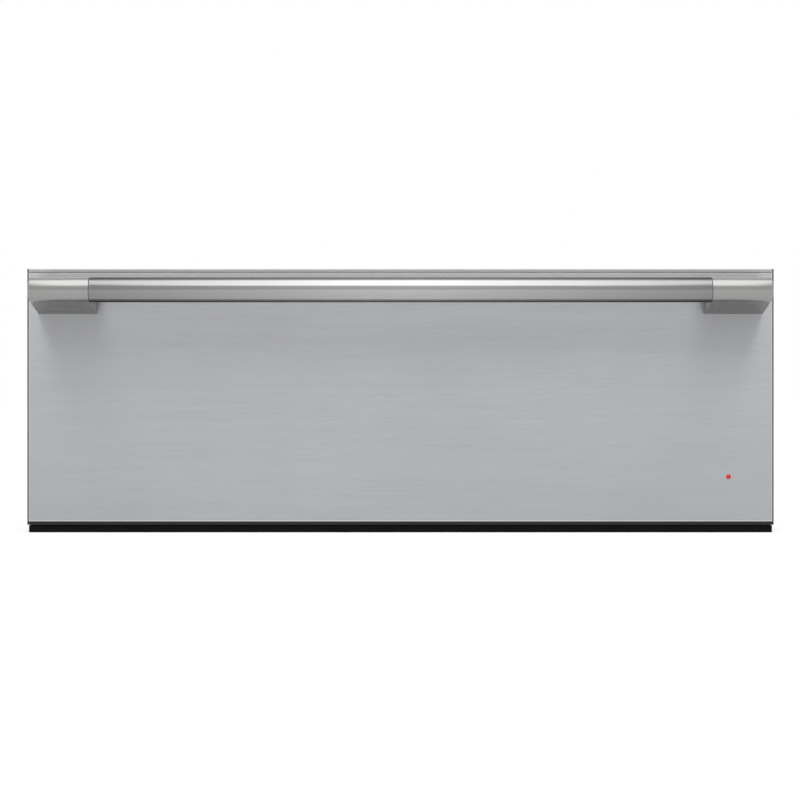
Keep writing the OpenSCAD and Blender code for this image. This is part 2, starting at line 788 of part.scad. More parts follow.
// Chassis places shared by several pieces
bay_gap = 2 * casing_t + ins_gap;
cutout_half = (key_d + panel_t) / 2;
cutout_z0 = lamp_z - key_d / 2 - 2;
cutout_z1 = power_z + key_d / 2 + 3;
board_half = cutout_half - ins_gap;
board_y = cavity_y0 + board_gap;
board_z0 = cutout_z0 - board_over;
board_z1 = cutout_z1 + board_over;
switch_h = 4;
key_seat = 0.1;
power_y = bay_y + power_gap;
power_x1 = power_w / 2;
loom_r = loom_d / 2;
loom_z = board_z1 - loom_d;
loom_y = power_y + board_t + 2 * loom_d;
power_z0 = loom_z + 2 * loom_d - power_h;
legs_y = power_y + 2 * element_d;
legs_x = element_legs / 2;
element_z = cavity_z0 + element_up;
element_y1 = cavity_y1 - element_rear;
element_y0 = cavity_y0 + element_front;
bight_y = element_y1 - element_step;
probe_x = 2 * cavity_half / 3;
probe_z = cavity_z1 - probe_drop;
limit_x = cavity_half / 3;
limit_z = cavity_z1 - 2.5 * limit_d;
gland_x = casing_half - gland_inset;
gland_z = casing_z0 + casing_t + gland_up;
side_screws = [for (k = [1, 3, 5, 7]) casing_z0 + k * (casing_z1 - casing_z0) / 8];
top_screws = [for (k = [1, 3, 5]) cavity_y0 + k * (rear_y - cavity_y0) / 6];
flange_w = 12;

// Chassis

module base_runners() {
    outer = casing_half - runner_w / 2;
    color([0.30, 0.30, 0.31]) for (x = [-outer, -runner_w / 2, outer - runner_w])
        block([x, frame_y, 0], [x + runner_w, rear_y, casing_z0]);
}

// Black strip under the front: a lip, a shelf and a foot against the runners
module base_trim() {
    y0 = face_y + base_trim_back;
    z1 = front_z0 - base_trim_gap;
    color([0.08, 0.08, 0.08]) along_x(-frame_half, frame_half) {
        translate([y0, 0]) square([base_trim_t, z1]);
        translate([y0, z1 - base_trim_t]) square([frame_y - y0, base_trim_t]);
        translate([frame_y - base_trim_t, 0]) square([base_trim_t, z1]);
    }
}

// Rows of slots that let air through the casing round the electrical bay
module slot_rows(columns, rows, pitch_x, pitch_y) {
    for (i = [0:columns - 1], j = [0:rows - 1])
        translate([(i - (columns - 1) / 2) * pitch_x, (j - (rows - 1) / 2) * pitch_y])
            round_rect(pitch_x * 0.7, pitch_y * 0.4, pitch_y * 0.2 - eps);
}

module casing_base() {
    color([0.62, 0.63, 0.64])
        block([-casing_half, cavity_y0, casing_z0], [casing_half, rear_y, casing_z0 + casing_t]);
}

// Side wall with a flange for the top's screws and one for the rear panel's screws
module casing_side(side) {
    z0 = casing_z0 + casing_t;
    z1 = casing_z1 - casing_t;
    x1 = casing_half - casing_t;
    color([0.66, 0.67, 0.68]) on_side(side) difference() {
        union() {
            block([x1, cavity_y0, z0], [casing_half, rear_y, z1]);
            block([x1 - flange_w, cavity_y0, z1 - casing_t], [x1 + eps, rear_y - casing_t, z1]);
            block([x1 - flange_w, rear_y - 2 * casing_t, z0], [x1 + eps, rear_y - casing_t, z1]);
        }
        translate([0, bay_y + rear_bay / 2, (z0 + z1) / 2])
            along_x(casing_half - cut, casing_half + cut)
                slot_rows(1, 12, 0.7 * rear_bay, case_slot_rise);
        for (y = top_screws)
            rod_z(casing_half - flange_w / 2, y, casing_screw_r + screw_gap, z1 - cut, z1 + cut);
        for (z = side_screws)
            rod_y(casing_half - flange_w / 2, z, casing_screw_r + screw_gap, rear_y - cut, rear_y);
    }
}

module casing_top() {
    color([0.66, 0.67, 0.68]) difference() {
        block([-casing_half, cavity_y0, casing_z1 - casing_t], [casing_half, rear_y, casing_z1]);
        translate([0, bay_y + rear_bay / 2, 0])
            along_z(casing_z1 - cut, casing_z1 + cut)
                slot_rows(16, 3, case_slot_pitch, case_slot_rise * 0.75);
        for (side = [-1, 1], y = top_screws)
            rod_z(side * (casing_half - flange_w / 2), y, casing_screw_r + screw_gap,
                casing_z1 - cut, casing_z1 + cut);
    }
}

module casing_rear() {
    color([0.66, 0.67, 0.68]) difference() {
        block([-casing_half + casing_t, rear_y - casing_t, casing_z0 + casing_t],
            [casing_half - casing_t, rear_y, casing_z1 - casing_t]);
        translate([0, 0, (casing_z0 + casing_z1) / 2])
            along_y(rear_y - cut, rear_y + cut) slot_rows(8, 7, case_slot_pitch, case_slot_rise);
        rod_y(-gland_x, gland_z, gland_r + gland_wall + screw_gap, rear_y - cut, rear_y + cut);
        for (side = [-1, 1], z = side_screws)
            rod_y(side * (casing_half - flange_w / 2), z, casing_screw_r + screw_gap,
                rear_y - cut, rear_y + cut);
    }
}

// Screws of the rear panel and of the top
module casing_screws() {
    grip = 2 * casing_t;
    color([0.50, 0.50, 0.51]) for (side = [-1, 1]) {
        for (z = side_screws)
            screw_y(side * (casing_half - flange_w / 2), z, casing_screw_r, rear_y, grip);
        for (y = top_screws)
            translate([side * (casing_half - flange_w / 2), y, casing_z1]) rotate([90, 0, 0])
                screw_y(0, 0, casing_screw_r, 0, grip);
    }
}

// Flat frame that laps over the cabinet's edge, with the hot box's mouth and the cabinet's screw holes
module front_frame() {
    color([0.64, 0.64, 0.65]) difference() {
        block([-frame_half, frame_y, casing_z0], [frame_half, cavity_y0, frame_z1]);
        block([-cavity_half, frame_y - cut, cavity_z0], [cavity_half, cavity_y0 + cut, cavity_z1]);
        block([lamp_x - cutout_half, frame_y - cut, cutout_z0],
            [lamp_x + cutout_half, cavity_y0 + cut, cutout_z1]);
        for (side = [-1, 1], z = [0, mount_rise])
            rod_y(side * mount_half, casing_z0 + mount_up + z, mount_hole_r,
                frame_y - cut, cavity_y0 + cut);
    }
}

module liner_side(side) {
    color([0.74, 0.74, 0.75]) on_side(side)
        block([cavity_half, cavity_y0, floor_z], [cavity_half + liner_t, cavity_y1 + liner_t, ceiling_z]);
}

module liner_top() {
    color([0.74, 0.74, 0.75])
        block([-cavity_half, cavity_y0, cavity_z1], [cavity_half, cavity_y1 + liner_t, ceiling_z]);
}

module liner_floor() {
    color([0.72, 0.72, 0.73])
        block([-cavity_half, cavity_y0, floor_z], [cavity_half, cavity_y1 + liner_t, cavity_z0]);
}

// Holes that the heater's legs and the probe pass through, from the hot box to the bay
module service_holes() {
    for (side = [-1, 1])
        rod_y(side * legs_x, element_z, element_d / 2 + ins_gap, cavity_y1 - cut, bay_y + cut);
    rod_y(probe_x, probe_z, probe_d / 2 + ins_gap, cavity_y1 - cut, bay_y + cut);
}

module liner_rear() {
    color([0.74, 0.74, 0.75]) difference() {
        block([-cavity_half, cavity_y1, cavity_z0], [cavity_half, cavity_y1 + liner_t, cavity_z1]);
        service_holes();
    }
}

// Space that stays free in the insulation for the control board and the loom
module board_space() {
    block([lamp_x - board_half - 2, cavity_y0 - cut, board_z0 - cut],
        [lamp_x + board_half + 2, cavity_y0 + board_pocket, board_z1 + cut]);
    rod_y(lamp_x, loom_z, loom_r + loom_gap, cavity_y0, bay_y + cut);
}

// Insulation over the liner and down both sides
module insulation_wrap() {
    half = casing_half - casing_t - ins_gap;
    color([0.88, 0.82, 0.58]) difference() {
        block([-half, cavity_y0 + ins_gap, floor_z], [half, cavity_y1 + liner_t, casing_z1 - bay_gap]);
        block([-cavity_half - liner_t - ins_gap, cavity_y0 - cut, floor_z - cut],
            [cavity_half + liner_t + ins_gap, cavity_y1 + cut, ceiling_z + ins_gap]);
        board_space();
    }
}

module insulation_base() {
    half = casing_half - casing_t - ins_gap;
    color([0.88, 0.82, 0.58]) difference() {
        block([-half, cavity_y0 + ins_gap, casing_z0 + casing_t],
            [half, cavity_y1 + liner_t, floor_z - ins_gap]);
        board_space();
    }
}

module insulation_rear() {
    half = casing_half - casing_t - ins_gap;
    color([0.88, 0.82, 0.58]) difference() {
        block([-half, cavity_y1 + liner_t + ins_gap, casing_z0 + casing_t],
            [half, partition_y - ins_gap, casing_z1 - bay_gap]);
        service_holes();
        rod_y(limit_x, limit_z, limit_d / 2 + loom_gap, cavity_y1 - cut, bay_y + cut);
        board_space();
    }
}

// Wall between the hot box's insulation and the electrical bay
module rear_partition() {
    color([0.66, 0.67, 0.68]) difference() {
        block([-casing_half + casing_t, partition_y, casing_z0 + casing_t],
            [casing_half - casing_t, bay_y, casing_z1 - 2 * casing_t]);
        service_holes();
        board_space();
    }
}

// Heating

// A quarter bend in the X-Y plane, its centre at [x, y], starting at the angle start
module bend_xy(x, y, z, r_bend, r, start) {
    translate([x, y, z]) rotate([0, 0, start]) rotate_extrude(angle = 90) translate([r_bend, 0]) circle(r);
}

// Right half of the element: leg, rear run, side run, front run, bight and its cross run
module element_half_loop() {
    b = element_bend;
    r = element_d / 2;
    z = element_z;
    rod_y(legs_x, z, r, element_y1 + b, power_y);
    bend_xy(legs_x + b, element_y1 + b, z, b, r, 180);
    rod_x(element_y1, z, r, legs_x + b, element_half - b);
    bend_xy(element_half - b, element_y1 - b, z, b, r, 0);
    rod_y(element_half, z, r, element_y0 + b, element_y1 - b);
    bend_xy(element_half - b, element_y0 + b, z, b, r, 270);
    rod_x(element_y0, z, r, element_bight + b, element_half - b);
    bend_xy(element_bight + b, element_y0 + b, z, b, r, 180);
    rod_y(element_bight, z, r, element_y0 + b, bight_y - b);
    bend_xy(element_bight - b, bight_y - b, z, b, r, 0);
    rod_x(bight_y, z, r, -eps, element_bight - b);
}

module heating_element() {
    color([0.35, 0.33, 0.32]) union() {
        element_half_loop();
        mirror([1, 0, 0]) element_half_loop();
    }
}

// Saddles that hold the element on the hot box's floor
module element_clips() {
    w = 2 * element_d;
    places = [[element_half, (element_y0 + element_y1) / 2], [element_bight, (element_y0 + bight_y) / 2],
        [element_half, element_y1 - 2 * element_bend]];
    color([0.55, 0.55, 0.56]) for (side = [-1, 1], p = places)
        translate([side * p[0], 0, 0]) difference() {
            block([-w / 2, p[1] - w / 4, cavity_z0], [w / 2, p[1] + w / 4, element_z + element_d]);
            rod_y(0, element_z, element_d / 2 + screw_gap, p[1] - w, p[1] + w);
        }
}

module temperature_probe() {
    color([0.70, 0.70, 0.71]) {
        rod_y(probe_x, probe_z, probe_d / 2, cavity_y1 - probe_l, power_y);
        rod_y(probe_x, probe_z, 1.5 * probe_d, cavity_y1 - probe_d / 2, cavity_y1);
    }
}

module limit_thermostat() {
    y0 = cavity_y1 + liner_t;
    color([0.60, 0.60, 0.61]) {
        rod_y(limit_x, limit_z, limit_d / 2, y0, y0 + rear_ins / 2);
        for (side = [-1, 1])
            block([limit_x + side * limit_d / 4 - 1, y0 + rear_ins / 2 - eps, limit_z - 3],
                [limit_x + side * limit_d / 4 + 1, partition_y - ins_gap, limit_z + 3]);
    }
}

// Electrics

// Board in the bay on four posts, with a transformer, two relays, a capacitor and its connectors
module power_board() {
    y1 = power_y + board_t;
    z1 = power_z0 + power_h;
    post = 3;
    color([0.16, 0.34, 0.20]) {
        block([-power_x1, power_y, power_z0], [power_x1, y1, z1]);
        for (x = [-power_x1 + 2 * post, power_x1 - 2 * post], z = [power_z0 + 2 * post, z1 - 2 * post])
            rod_y(x, z, post, bay_y, power_y + eps);
        block([-power_w * 0.4, y1 - eps, power_z0 + power_h * 0.4],
            [-power_w * 0.1, y1 + rear_bay / 2, power_z0 + power_h * 0.85]);
        for (k = [0, 1])
            block([power_w * 0.02, y1 - eps, power_z0 + power_h * (0.3 + 0.28 * k)],
                [power_w * 0.18, y1 + rear_bay / 3, power_z0 + power_h * (0.5 + 0.28 * k)]);
        rod_y(power_w * 0.3, power_z0 + power_h * 0.45, power_w * 0.05, y1 - eps, y1 + rear_bay / 2);
        block([power_x1 - 2 * loom_d, y1 - eps, loom_z - loom_d],
            [power_x1, loom_y + loom_d, loom_z + loom_d]);
        for (side = [-1, 1])
            block([side * legs_x - element_d, y1 - eps, power_z0],
                [side * legs_x + element_d, legs_y + element_d, power_z0 + 2 * element_d]);
    }
}

// Bush in the rear panel that the mains cord comes in through
module cord_gland() {
    outer = gland_r + gland_wall;
    y1 = rear_y + gland_flange;
    color([0.12, 0.12, 0.12]) difference() {
        union() {
            rod_y(-gland_x, gland_z, outer, y1 - gland_l, y1);
            rod_y(-gland_x, gland_z, outer + gland_wall, rear_y, y1);
            rod_y(-gland_x, gland_z, outer + gland_wall,
                rear_y - casing_t - gland_flange, rear_y - casing_t);
        }
        rod_y(-gland_x, gland_z, gland_r, rear_y - gland_l - cut, y1 + cut);
    }
}

// Loom from the control board to the power board, and the two leads of the element
module wiring_loom() {
    b = 2 * loom_d;
    color([0.15, 0.15, 0.16]) {
        union() {
            rod_y(lamp_x, loom_z, loom_r, board_y + board_t, loom_y - b);
            bend_xy(lamp_x - b, loom_y - b, loom_z, b, loom_r, 0);
            rod_x(loom_y, loom_z, loom_r, power_x1, lamp_x - b);
        }
        for (side = [-1, 1]) {
            rod_y(side * legs_x, element_z, element_d * 0.7, power_y, legs_y + element_d * 0.7);
            rod_z(side * legs_x, legs_y, element_d / 4, element_z, power_z0);
        }
    }
}

// Strip with the key holes, the window's recess and the lamp's hole
module control_panel() {
    y0 = frame_y - panel_t;
    color([0.05, 0.05, 0.06]) difference() {
        block([lamp_x - panel_w / 2, y0, panel_z0], [lamp_x + panel_w / 2, frame_y, panel_z1]);
        for (z = [timer_z, down_z, up_z, power_z])
            rod_y(lamp_x, z, key_d / 2 + key_gap, y0 - cut, frame_y + cut);
        rod_y(lamp_x, lamp_z, led_d / 2 + key_gap, y0 - cut, frame_y + cut);
        block([lamp_x - window_w / 2 - key_seat, y0 - cut, window_z - window_h / 2 - key_seat],
            [lamp_x + window_w / 2 + key_seat, y0 + window_t, window_z + window_h / 2 + key_seat]);
    }
}

module display_window() {
    y0 = frame_y - panel_t;
    color([0.02, 0.02, 0.03]) block([lamp_x - window_w / 2, y0, window_z - window_h / 2],
        [lamp_x + window_w / 2, y0 + window_t, window_z + window_h / 2]);
}

// Board behind the frame with a switch under each key and the display's block
module control_board() {
    color([0.13, 0.30, 0.18]) {
        block([lamp_x - board_half, board_y, board_z0], [lamp_x + board_half, board_y + board_t, board_z1]);
        for (z = [timer_z, down_z, up_z, power_z])
            block([lamp_x - switch_h, board_y - switch_h, z - switch_h],
                [lamp_x + switch_h, board_y + eps, z + switch_h]);
        block([lamp_x - window_w / 3, frame_y + ins_gap, window_z - window_h / 3],
            [lamp_x + window_w / 3, board_y + eps, window_z + window_h / 3]);
        for (z = [board_z0 + switch_h, board_z1 - switch_h])
            rod_y(lamp_x, z, switch_h / 2, cavity_y0, board_y + eps);
    }
}

// Lamp on the control board that shines into the light pipe
module indicator_lamp() {
    color([0.80, 0.20, 0.15]) rod_y(lamp_x, lamp_z, led_d / 2, frame_y - panel_t + key_seat, board_y);
}

// A key: round cap, flange behind the strip and stem before its switch
module key(z) {
    r = key_d / 2;
    flange_y = frame_y + key_seat;
    color([0.20, 0.20, 0.21]) {
        rod_y(lamp_x, z, r, frame_y - panel_t - key_travel, flange_y + eps);
        rod_y(lamp_x, z, r + 1, flange_y, flange_y + 1);
        rod_y(lamp_x, z, switch_h / 2, flange_y + 1 - eps, board_y - switch_h - key_travel - key_seat);
    }
}

front_skin();
front_top_trim();
front_bottom_trim();
front_inner_panel();
front_insulation();
front_gasket();
handle_tube();
handle_bracket(LEFT);  // handle_bracket_left
handle_bracket(RIGHT);  // handle_bracket_right
drawer_screws();
indicator_lens();
drawer_pan();
pan_carrier(LEFT);  // pan_carrier_left
pan_carrier(RIGHT);  // pan_carrier_right
slide_inner(LEFT);  // slide_inner_left
slide_inner(RIGHT);  // slide_inner_right
vent_slider();
rack();
base_runners();
base_trim();
casing_base();
casing_side(LEFT);  // casing_left
casing_side(RIGHT);  // casing_right
casing_top();
casing_rear();
front_frame();
liner_side(LEFT);  // liner_left
liner_side(RIGHT);  // liner_right
liner_top();
liner_floor();
liner_rear();
insulation_wrap();
insulation_base();
insulation_rear();
rear_partition();
slide_outer(LEFT);  // slide_outer_left
slide_outer(RIGHT);  // slide_outer_right
heating_element();
element_clips();
temperature_probe();
limit_thermostat();
power_board();
cord_gland();
wiring_loom();
control_panel();
display_window();
control_board();
indicator_lamp();
casing_screws();
slide_mid(LEFT);  // slide_mid_left
slide_mid(RIGHT);  // slide_mid_right
ball_cage_outer(LEFT);  // ball_cage_outer_left
ball_cage_outer(RIGHT);  // ball_cage_outer_right
ball_cage_inner(LEFT);  // ball_cage_inner_left
ball_cage_inner(RIGHT);  // ball_cage_inner_right
key(power_z);  // button_power
key(up_z);  // button_up
key(down_z);  // button_down
key(timer_z);  // button_timer
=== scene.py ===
"""A built-in warming drawer of the 30-inch class, dressed around its fixed frame of solids.

Every length is in metres and every place is in the frame's own axes: Z up, the drawer front towards -Y.
The classes below stand for the drawer's sub-assemblies. Each one reads its place from the frame, builds its
meshes and gives them their finish. What repeats (wires, screws, slots) comes from Geometry Nodes trees that
are built here.
"""

import logging
import math
from dataclasses import dataclass, field
from enum import Enum

import bmesh
import bpy
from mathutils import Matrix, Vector


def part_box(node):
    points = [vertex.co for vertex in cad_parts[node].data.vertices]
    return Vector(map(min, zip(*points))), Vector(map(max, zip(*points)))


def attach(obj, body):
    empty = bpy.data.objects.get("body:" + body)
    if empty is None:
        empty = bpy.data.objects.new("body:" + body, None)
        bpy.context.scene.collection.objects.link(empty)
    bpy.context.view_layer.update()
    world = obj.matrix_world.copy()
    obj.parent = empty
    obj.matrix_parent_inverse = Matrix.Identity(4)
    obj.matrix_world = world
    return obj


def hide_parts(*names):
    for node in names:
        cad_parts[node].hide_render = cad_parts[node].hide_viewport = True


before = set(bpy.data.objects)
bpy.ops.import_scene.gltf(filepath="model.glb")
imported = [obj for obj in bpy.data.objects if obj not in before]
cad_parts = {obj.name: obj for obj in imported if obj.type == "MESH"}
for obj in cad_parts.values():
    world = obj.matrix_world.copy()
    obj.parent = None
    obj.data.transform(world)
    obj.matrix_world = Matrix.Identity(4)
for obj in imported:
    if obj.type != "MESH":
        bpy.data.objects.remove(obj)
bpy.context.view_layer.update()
LOG = logging.getLogger("warming_drawer")
MM = 0.001
SIDES = (("left", -1), ("right", 1))
Colour = tuple[float, float, float]
Point = tuple[float, float]
Piece, Socket, Form = bpy.types.Object, bpy.types.NodeSocket, bmesh.types.BMesh
MERGE = 0.000002  # points closer than this are one point
BOARD = 1.6 * MM  # thickness of a circuit board
ORIGIN = (0.0, 0.0, 0.0)
WHITE = (1.0, 1.0, 1.0, 1.0)
VECTOR, FLOAT, WHOLE = "NodeSocketVector", "NodeSocketFloat", "NodeSocketInt"


# ---------------------------------------------------------------------------------------------- node trees


class Wiring:
    """Short calls that add nodes to one node tree and wire them."""

    def __init__(self, tree: bpy.types.NodeTree) -> None:
        """Keeps the tree that the nodes go into."""
        self.tree = tree

    def add(self, kind: str, inputs: dict | None = None, **settings) -> bpy.types.Node:
        """Adds one node.

        Args:
            kind: The node's type name.
            inputs: Values or output sockets for the node's inputs, by name or index.
            settings: Properties of the node itself.

        Returns:
            The new node.
        """
        node = self.tree.nodes.new(kind)
        for name, value in settings.items():
            setattr(node, name, value)
        self.feed(node, inputs or {})
        return node

    def feed(self, node: bpy.types.Node, inputs: dict) -> None:
        """Sets or links several inputs of a node, by name or index."""
        for name, value in inputs.items():
            self.set(node.inputs[name], value)

    def out(self, kind: str, inputs: dict | None = None, output: int | str = 0, **settings) -> Socket:
        """Adds one node as add() does, and returns one of its outputs."""
        return self.add(kind, inputs, **settings).outputs[output]

    def set(self, socket: Socket, value) -> None:
        """Links an output socket to an input, or sets the input's own value."""
        if isinstance(value, Socket):
            self.tree.links.new(value, socket)
        else:
            socket.default_value = value

    def math(self, operation: str, *values, clamp: bool = False) -> Socket:
        """Returns the result of one Math node on the given values."""
        return self.out("ShaderNodeMath", dict(enumerate(values)), operation=operation, use_clamp=clamp)

    def vector(self, operation: str, *values) -> Socket:
        """Returns the result of one Vector Math node on the given values."""
        return self.out("ShaderNodeVectorMath", dict(enumerate(values)), operation=operation)

    def span(self, value, low, high, out_low=0.0, out_high=1.0, smooth=False) -> Socket:
        """Returns the value mapped from one range to another, held at the ends."""
        inputs = {"Value": value, "From Min": low, "From Max": high, "To Min": out_low, "To Max": out_high}
        kind = "SMOOTHSTEP" if smooth else "LINEAR"
        return self.out("ShaderNodeMapRange", inputs, "Result", interpolation_type=kind)

    def noise(self, vector, scale: float, detail: float = 2.0, rough: float = 0.5) -> Socket:
        """Returns the grey value of a 3-D noise texture."""
        inputs = {"Vector": vector, "Scale": scale, "Detail": detail, "Roughness": rough}
        return self.out("ShaderNodeTexNoise", inputs, "Fac")

    def mix(self, factor, first, second) -> Socket:
        """Returns a colour between two colours."""
        return self.out("ShaderNodeMix", {0: factor, 6: first, 7: second}, 2, data_type="RGBA")

    def over(self, mask, share: float, below, above) -> Socket:
        """Returns a colour with another one laid over it by a share of a mask."""
        return self.mix(self.math("MULTIPLY", mask, share), below, above)

    def parts(self, vector) -> bpy.types.bpy_prop_collection:
        """Returns a vector's three coordinates."""
        return self.add("ShaderNodeSeparateXYZ", {0: vector}).outputs

    def point(self) -> Socket:
        """Returns the object coordinate."""
        return self.out("ShaderNodeTexCoord", output="Object")

    def join(self, *shapes) -> Socket:
        """Returns several geometries joined into one."""
        node = self.add("GeometryNodeJoinGeometry")
        for shape in shapes:
            self.set(node.inputs[0], shape)
        return node.outputs[0]


class EffectGroup:
    """A shader node group that several finishes share, built once with named inputs and outputs."""

    name = "effect"
    inputs: tuple[tuple[str, str, object], ...] = ()
    outputs: tuple[str, ...] = ()

    def tree(self) -> bpy.types.NodeTree:
        """Returns the group's node tree, and builds it the first time."""
        found = bpy.data.node_groups.get(self.name)
        if found:
            return found
        tree = bpy.data.node_groups.new(self.name, "ShaderNodeTree")
        for name, kind, value in self.inputs:
            socket = tree.interface.new_socket(name, in_out="INPUT", socket_type=kind)
            socket.default_value = value
        for name in self.outputs:
            tree.interface.new_socket(name, in_out="OUTPUT", socket_type="NodeSocketFloat")
        wiring = Wiring(tree)
        source = wiring.add("NodeGroupInput")
        target = wiring.add("NodeGroupOutput")
        for name, value in self.wire(wiring, source.outputs).items():
            wiring.set(target.inputs[name], value)
        return tree

    def wire(self, wiring: Wiring, source) -> dict[str, Socket]:
        """Builds the group's nodes and returns its outputs by name."""
        raise NotImplementedError

    def place(self, wiring: Wiring, **values) -> bpy.types.Node:
        """Places the group in a material.

        Args:
            wiring: The material's node tree.
            values: The group's inputs, with spaces written as underscores.

        Returns:
            The group node.
        """
        node = wiring.add("ShaderNodeGroup", node_tree=self.tree())
        for name, value in values.items():
            wiring.set(node.inputs[name.replace("_", " ")], value)
        return node


class Brushing(EffectGroup):
    """Fine parallel scratches: a long, thin noise in three widths."""

    name = "brushing"
    inputs = (
        ("Along", VECTOR, ORIGIN),
        ("Line Width", FLOAT, 0.0006),
    )
    outputs = ("Streak", "Height")

    def wire(self, wiring: Wiring, source) -> dict[str, Socket]:
        """Builds the scratches."""
        fine_scale = wiring.math("DIVIDE", 1.0, source["Line Width"])
        layers = []
        for share, rough in ((1.0, 0.55), (0.31, 0.5), (0.07, 0.5)):
            scale = wiring.math("MULTIPLY", fine_scale, share)
            layers.append(wiring.noise(source["Along"], scale, 3.0, rough))
        fine = wiring.math("MULTIPLY_ADD", layers[0], 0.5, wiring.math("MULTIPLY", layers[1], 0.3))
        streak = wiring.math("MULTIPLY_ADD", layers[2], 0.2, fine)
        height = wiring.math("MULTIPLY_ADD", layers[0], 0.75, wiring.math("MULTIPLY", layers[1], 0.25))
        return {"Streak": streak, "Height": height}


class RubbedEdges(EffectGroup):
    """A mask that is 1 along the edges of a piece's box and fades out over a width, broken by noise."""

    waver_scale = 160.0
    name = "rubbed_edges"
    inputs = (
        ("Point", VECTOR, ORIGIN),
        ("Low", VECTOR, ORIGIN),
        ("High", VECTOR, (1.0, 1.0, 1.0)),
        ("Width", FLOAT, 0.001),
    )
    outputs = ("Mask",)

    def wire(self, wiring: Wiring, source) -> dict[str, Socket]:
        """Takes the second smallest distance to the box's sides, the distance to its nearest edge."""
        above = wiring.vector("SUBTRACT", source["Point"], source["Low"])
        below = wiring.vector("SUBTRACT", source["High"], source["Point"])
        x, y, z = wiring.parts(wiring.vector("MINIMUM", above, below))
        low_xy = wiring.math("MINIMUM", x, y)
        high_xy = wiring.math("MAXIMUM", x, y)
        middle = wiring.math("MAXIMUM", low_xy, wiring.math("MINIMUM", high_xy, z))
        waver = wiring.noise(source["Point"], self.waver_scale, 3.0, 0.6)
        width = wiring.math("MULTIPLY", source["Width"], wiring.span(waver, 0.35, 0.65, 0.3, 1.6))
        return {"Mask": wiring.span(middle, 0.0, width, 1.0, 0.0, smooth=True)}


class Clouding(EffectGroup):
    """Soft uneven patches and fine specks, such as handling marks and settled dust."""

    speck_scale = 1400.0
    name = "clouding"
    inputs = (
        ("Point", VECTOR, ORIGIN),
        ("Patch Size", FLOAT, 0.05),
    )
    outputs = ("Patch", "Speck")

    def wire(self, wiring: Wiring, source) -> dict[str, Socket]:
        """Builds the patches and the specks."""
        scale = wiring.math("DIVIDE", 1.0, source["Patch Size"])
        patch = wiring.noise(source["Point"], scale, 3.0, 0.55)
        speck = wiring.noise(source["Point"], self.speck_scale, 2.0, 0.6)
        return {"Patch": wiring.span(patch, 0.3, 0.7), "Speck": wiring.span(speck, 0.58, 0.74)}


class Spangle(EffectGroup):
    """The crystals of a zinc coat: flat cells, each of its own grey."""

    warp_scale = 240.0
    warp_reach = 0.002
    name = "spangle"
    inputs = (
        ("Point", VECTOR, ORIGIN),
        ("Crystal Size", FLOAT, 0.006),
    )
    outputs = ("Grey", "Border")

    def wire(self, wiring: Wiring, source) -> dict[str, Socket]:
        """Builds the cells from a Voronoi texture on a slightly warped coordinate."""
        scale = wiring.math("DIVIDE", 1.0, source["Crystal Size"])
        inputs = {"Vector": source["Point"], "Scale": self.warp_scale, "Detail": 2.0}
        warp = wiring.out("ShaderNodeTexNoise", inputs, "Color")
        push = wiring.out("ShaderNodeVectorMath", {0: warp, "Scale": self.warp_reach}, operation="SCALE")
        inputs = {"Vector": wiring.vector("ADD", source["Point"], push), "Scale": scale}
        cells = wiring.out("ShaderNodeTexVoronoi", inputs, "Color")
        grey = wiring.out("ShaderNodeSeparateColor", {0: cells})
        edge = wiring.out("ShaderNodeTexVoronoi", inputs, "Distance", feature="DISTANCE_TO_EDGE")
        return {"Grey": grey, "Border": wiring.span(edge, 0.0, 0.06, 1.0, 0.0)}


BRUSHING = Brushing()
RUBBED_EDGES = RubbedEdges()
CLOUDING = Clouding()
SPANGLE = Spangle()


# ---------------------------------------------------------------------------------------------- finishes


class Grain(Enum):
    """Which way the fine scratches of a finish run, as the scale of its coordinate on each axis."""

    ALONG_X = (0.028, 1.0, 1.0)
    ALONG_Y = (1.0, 0.028, 1.0)


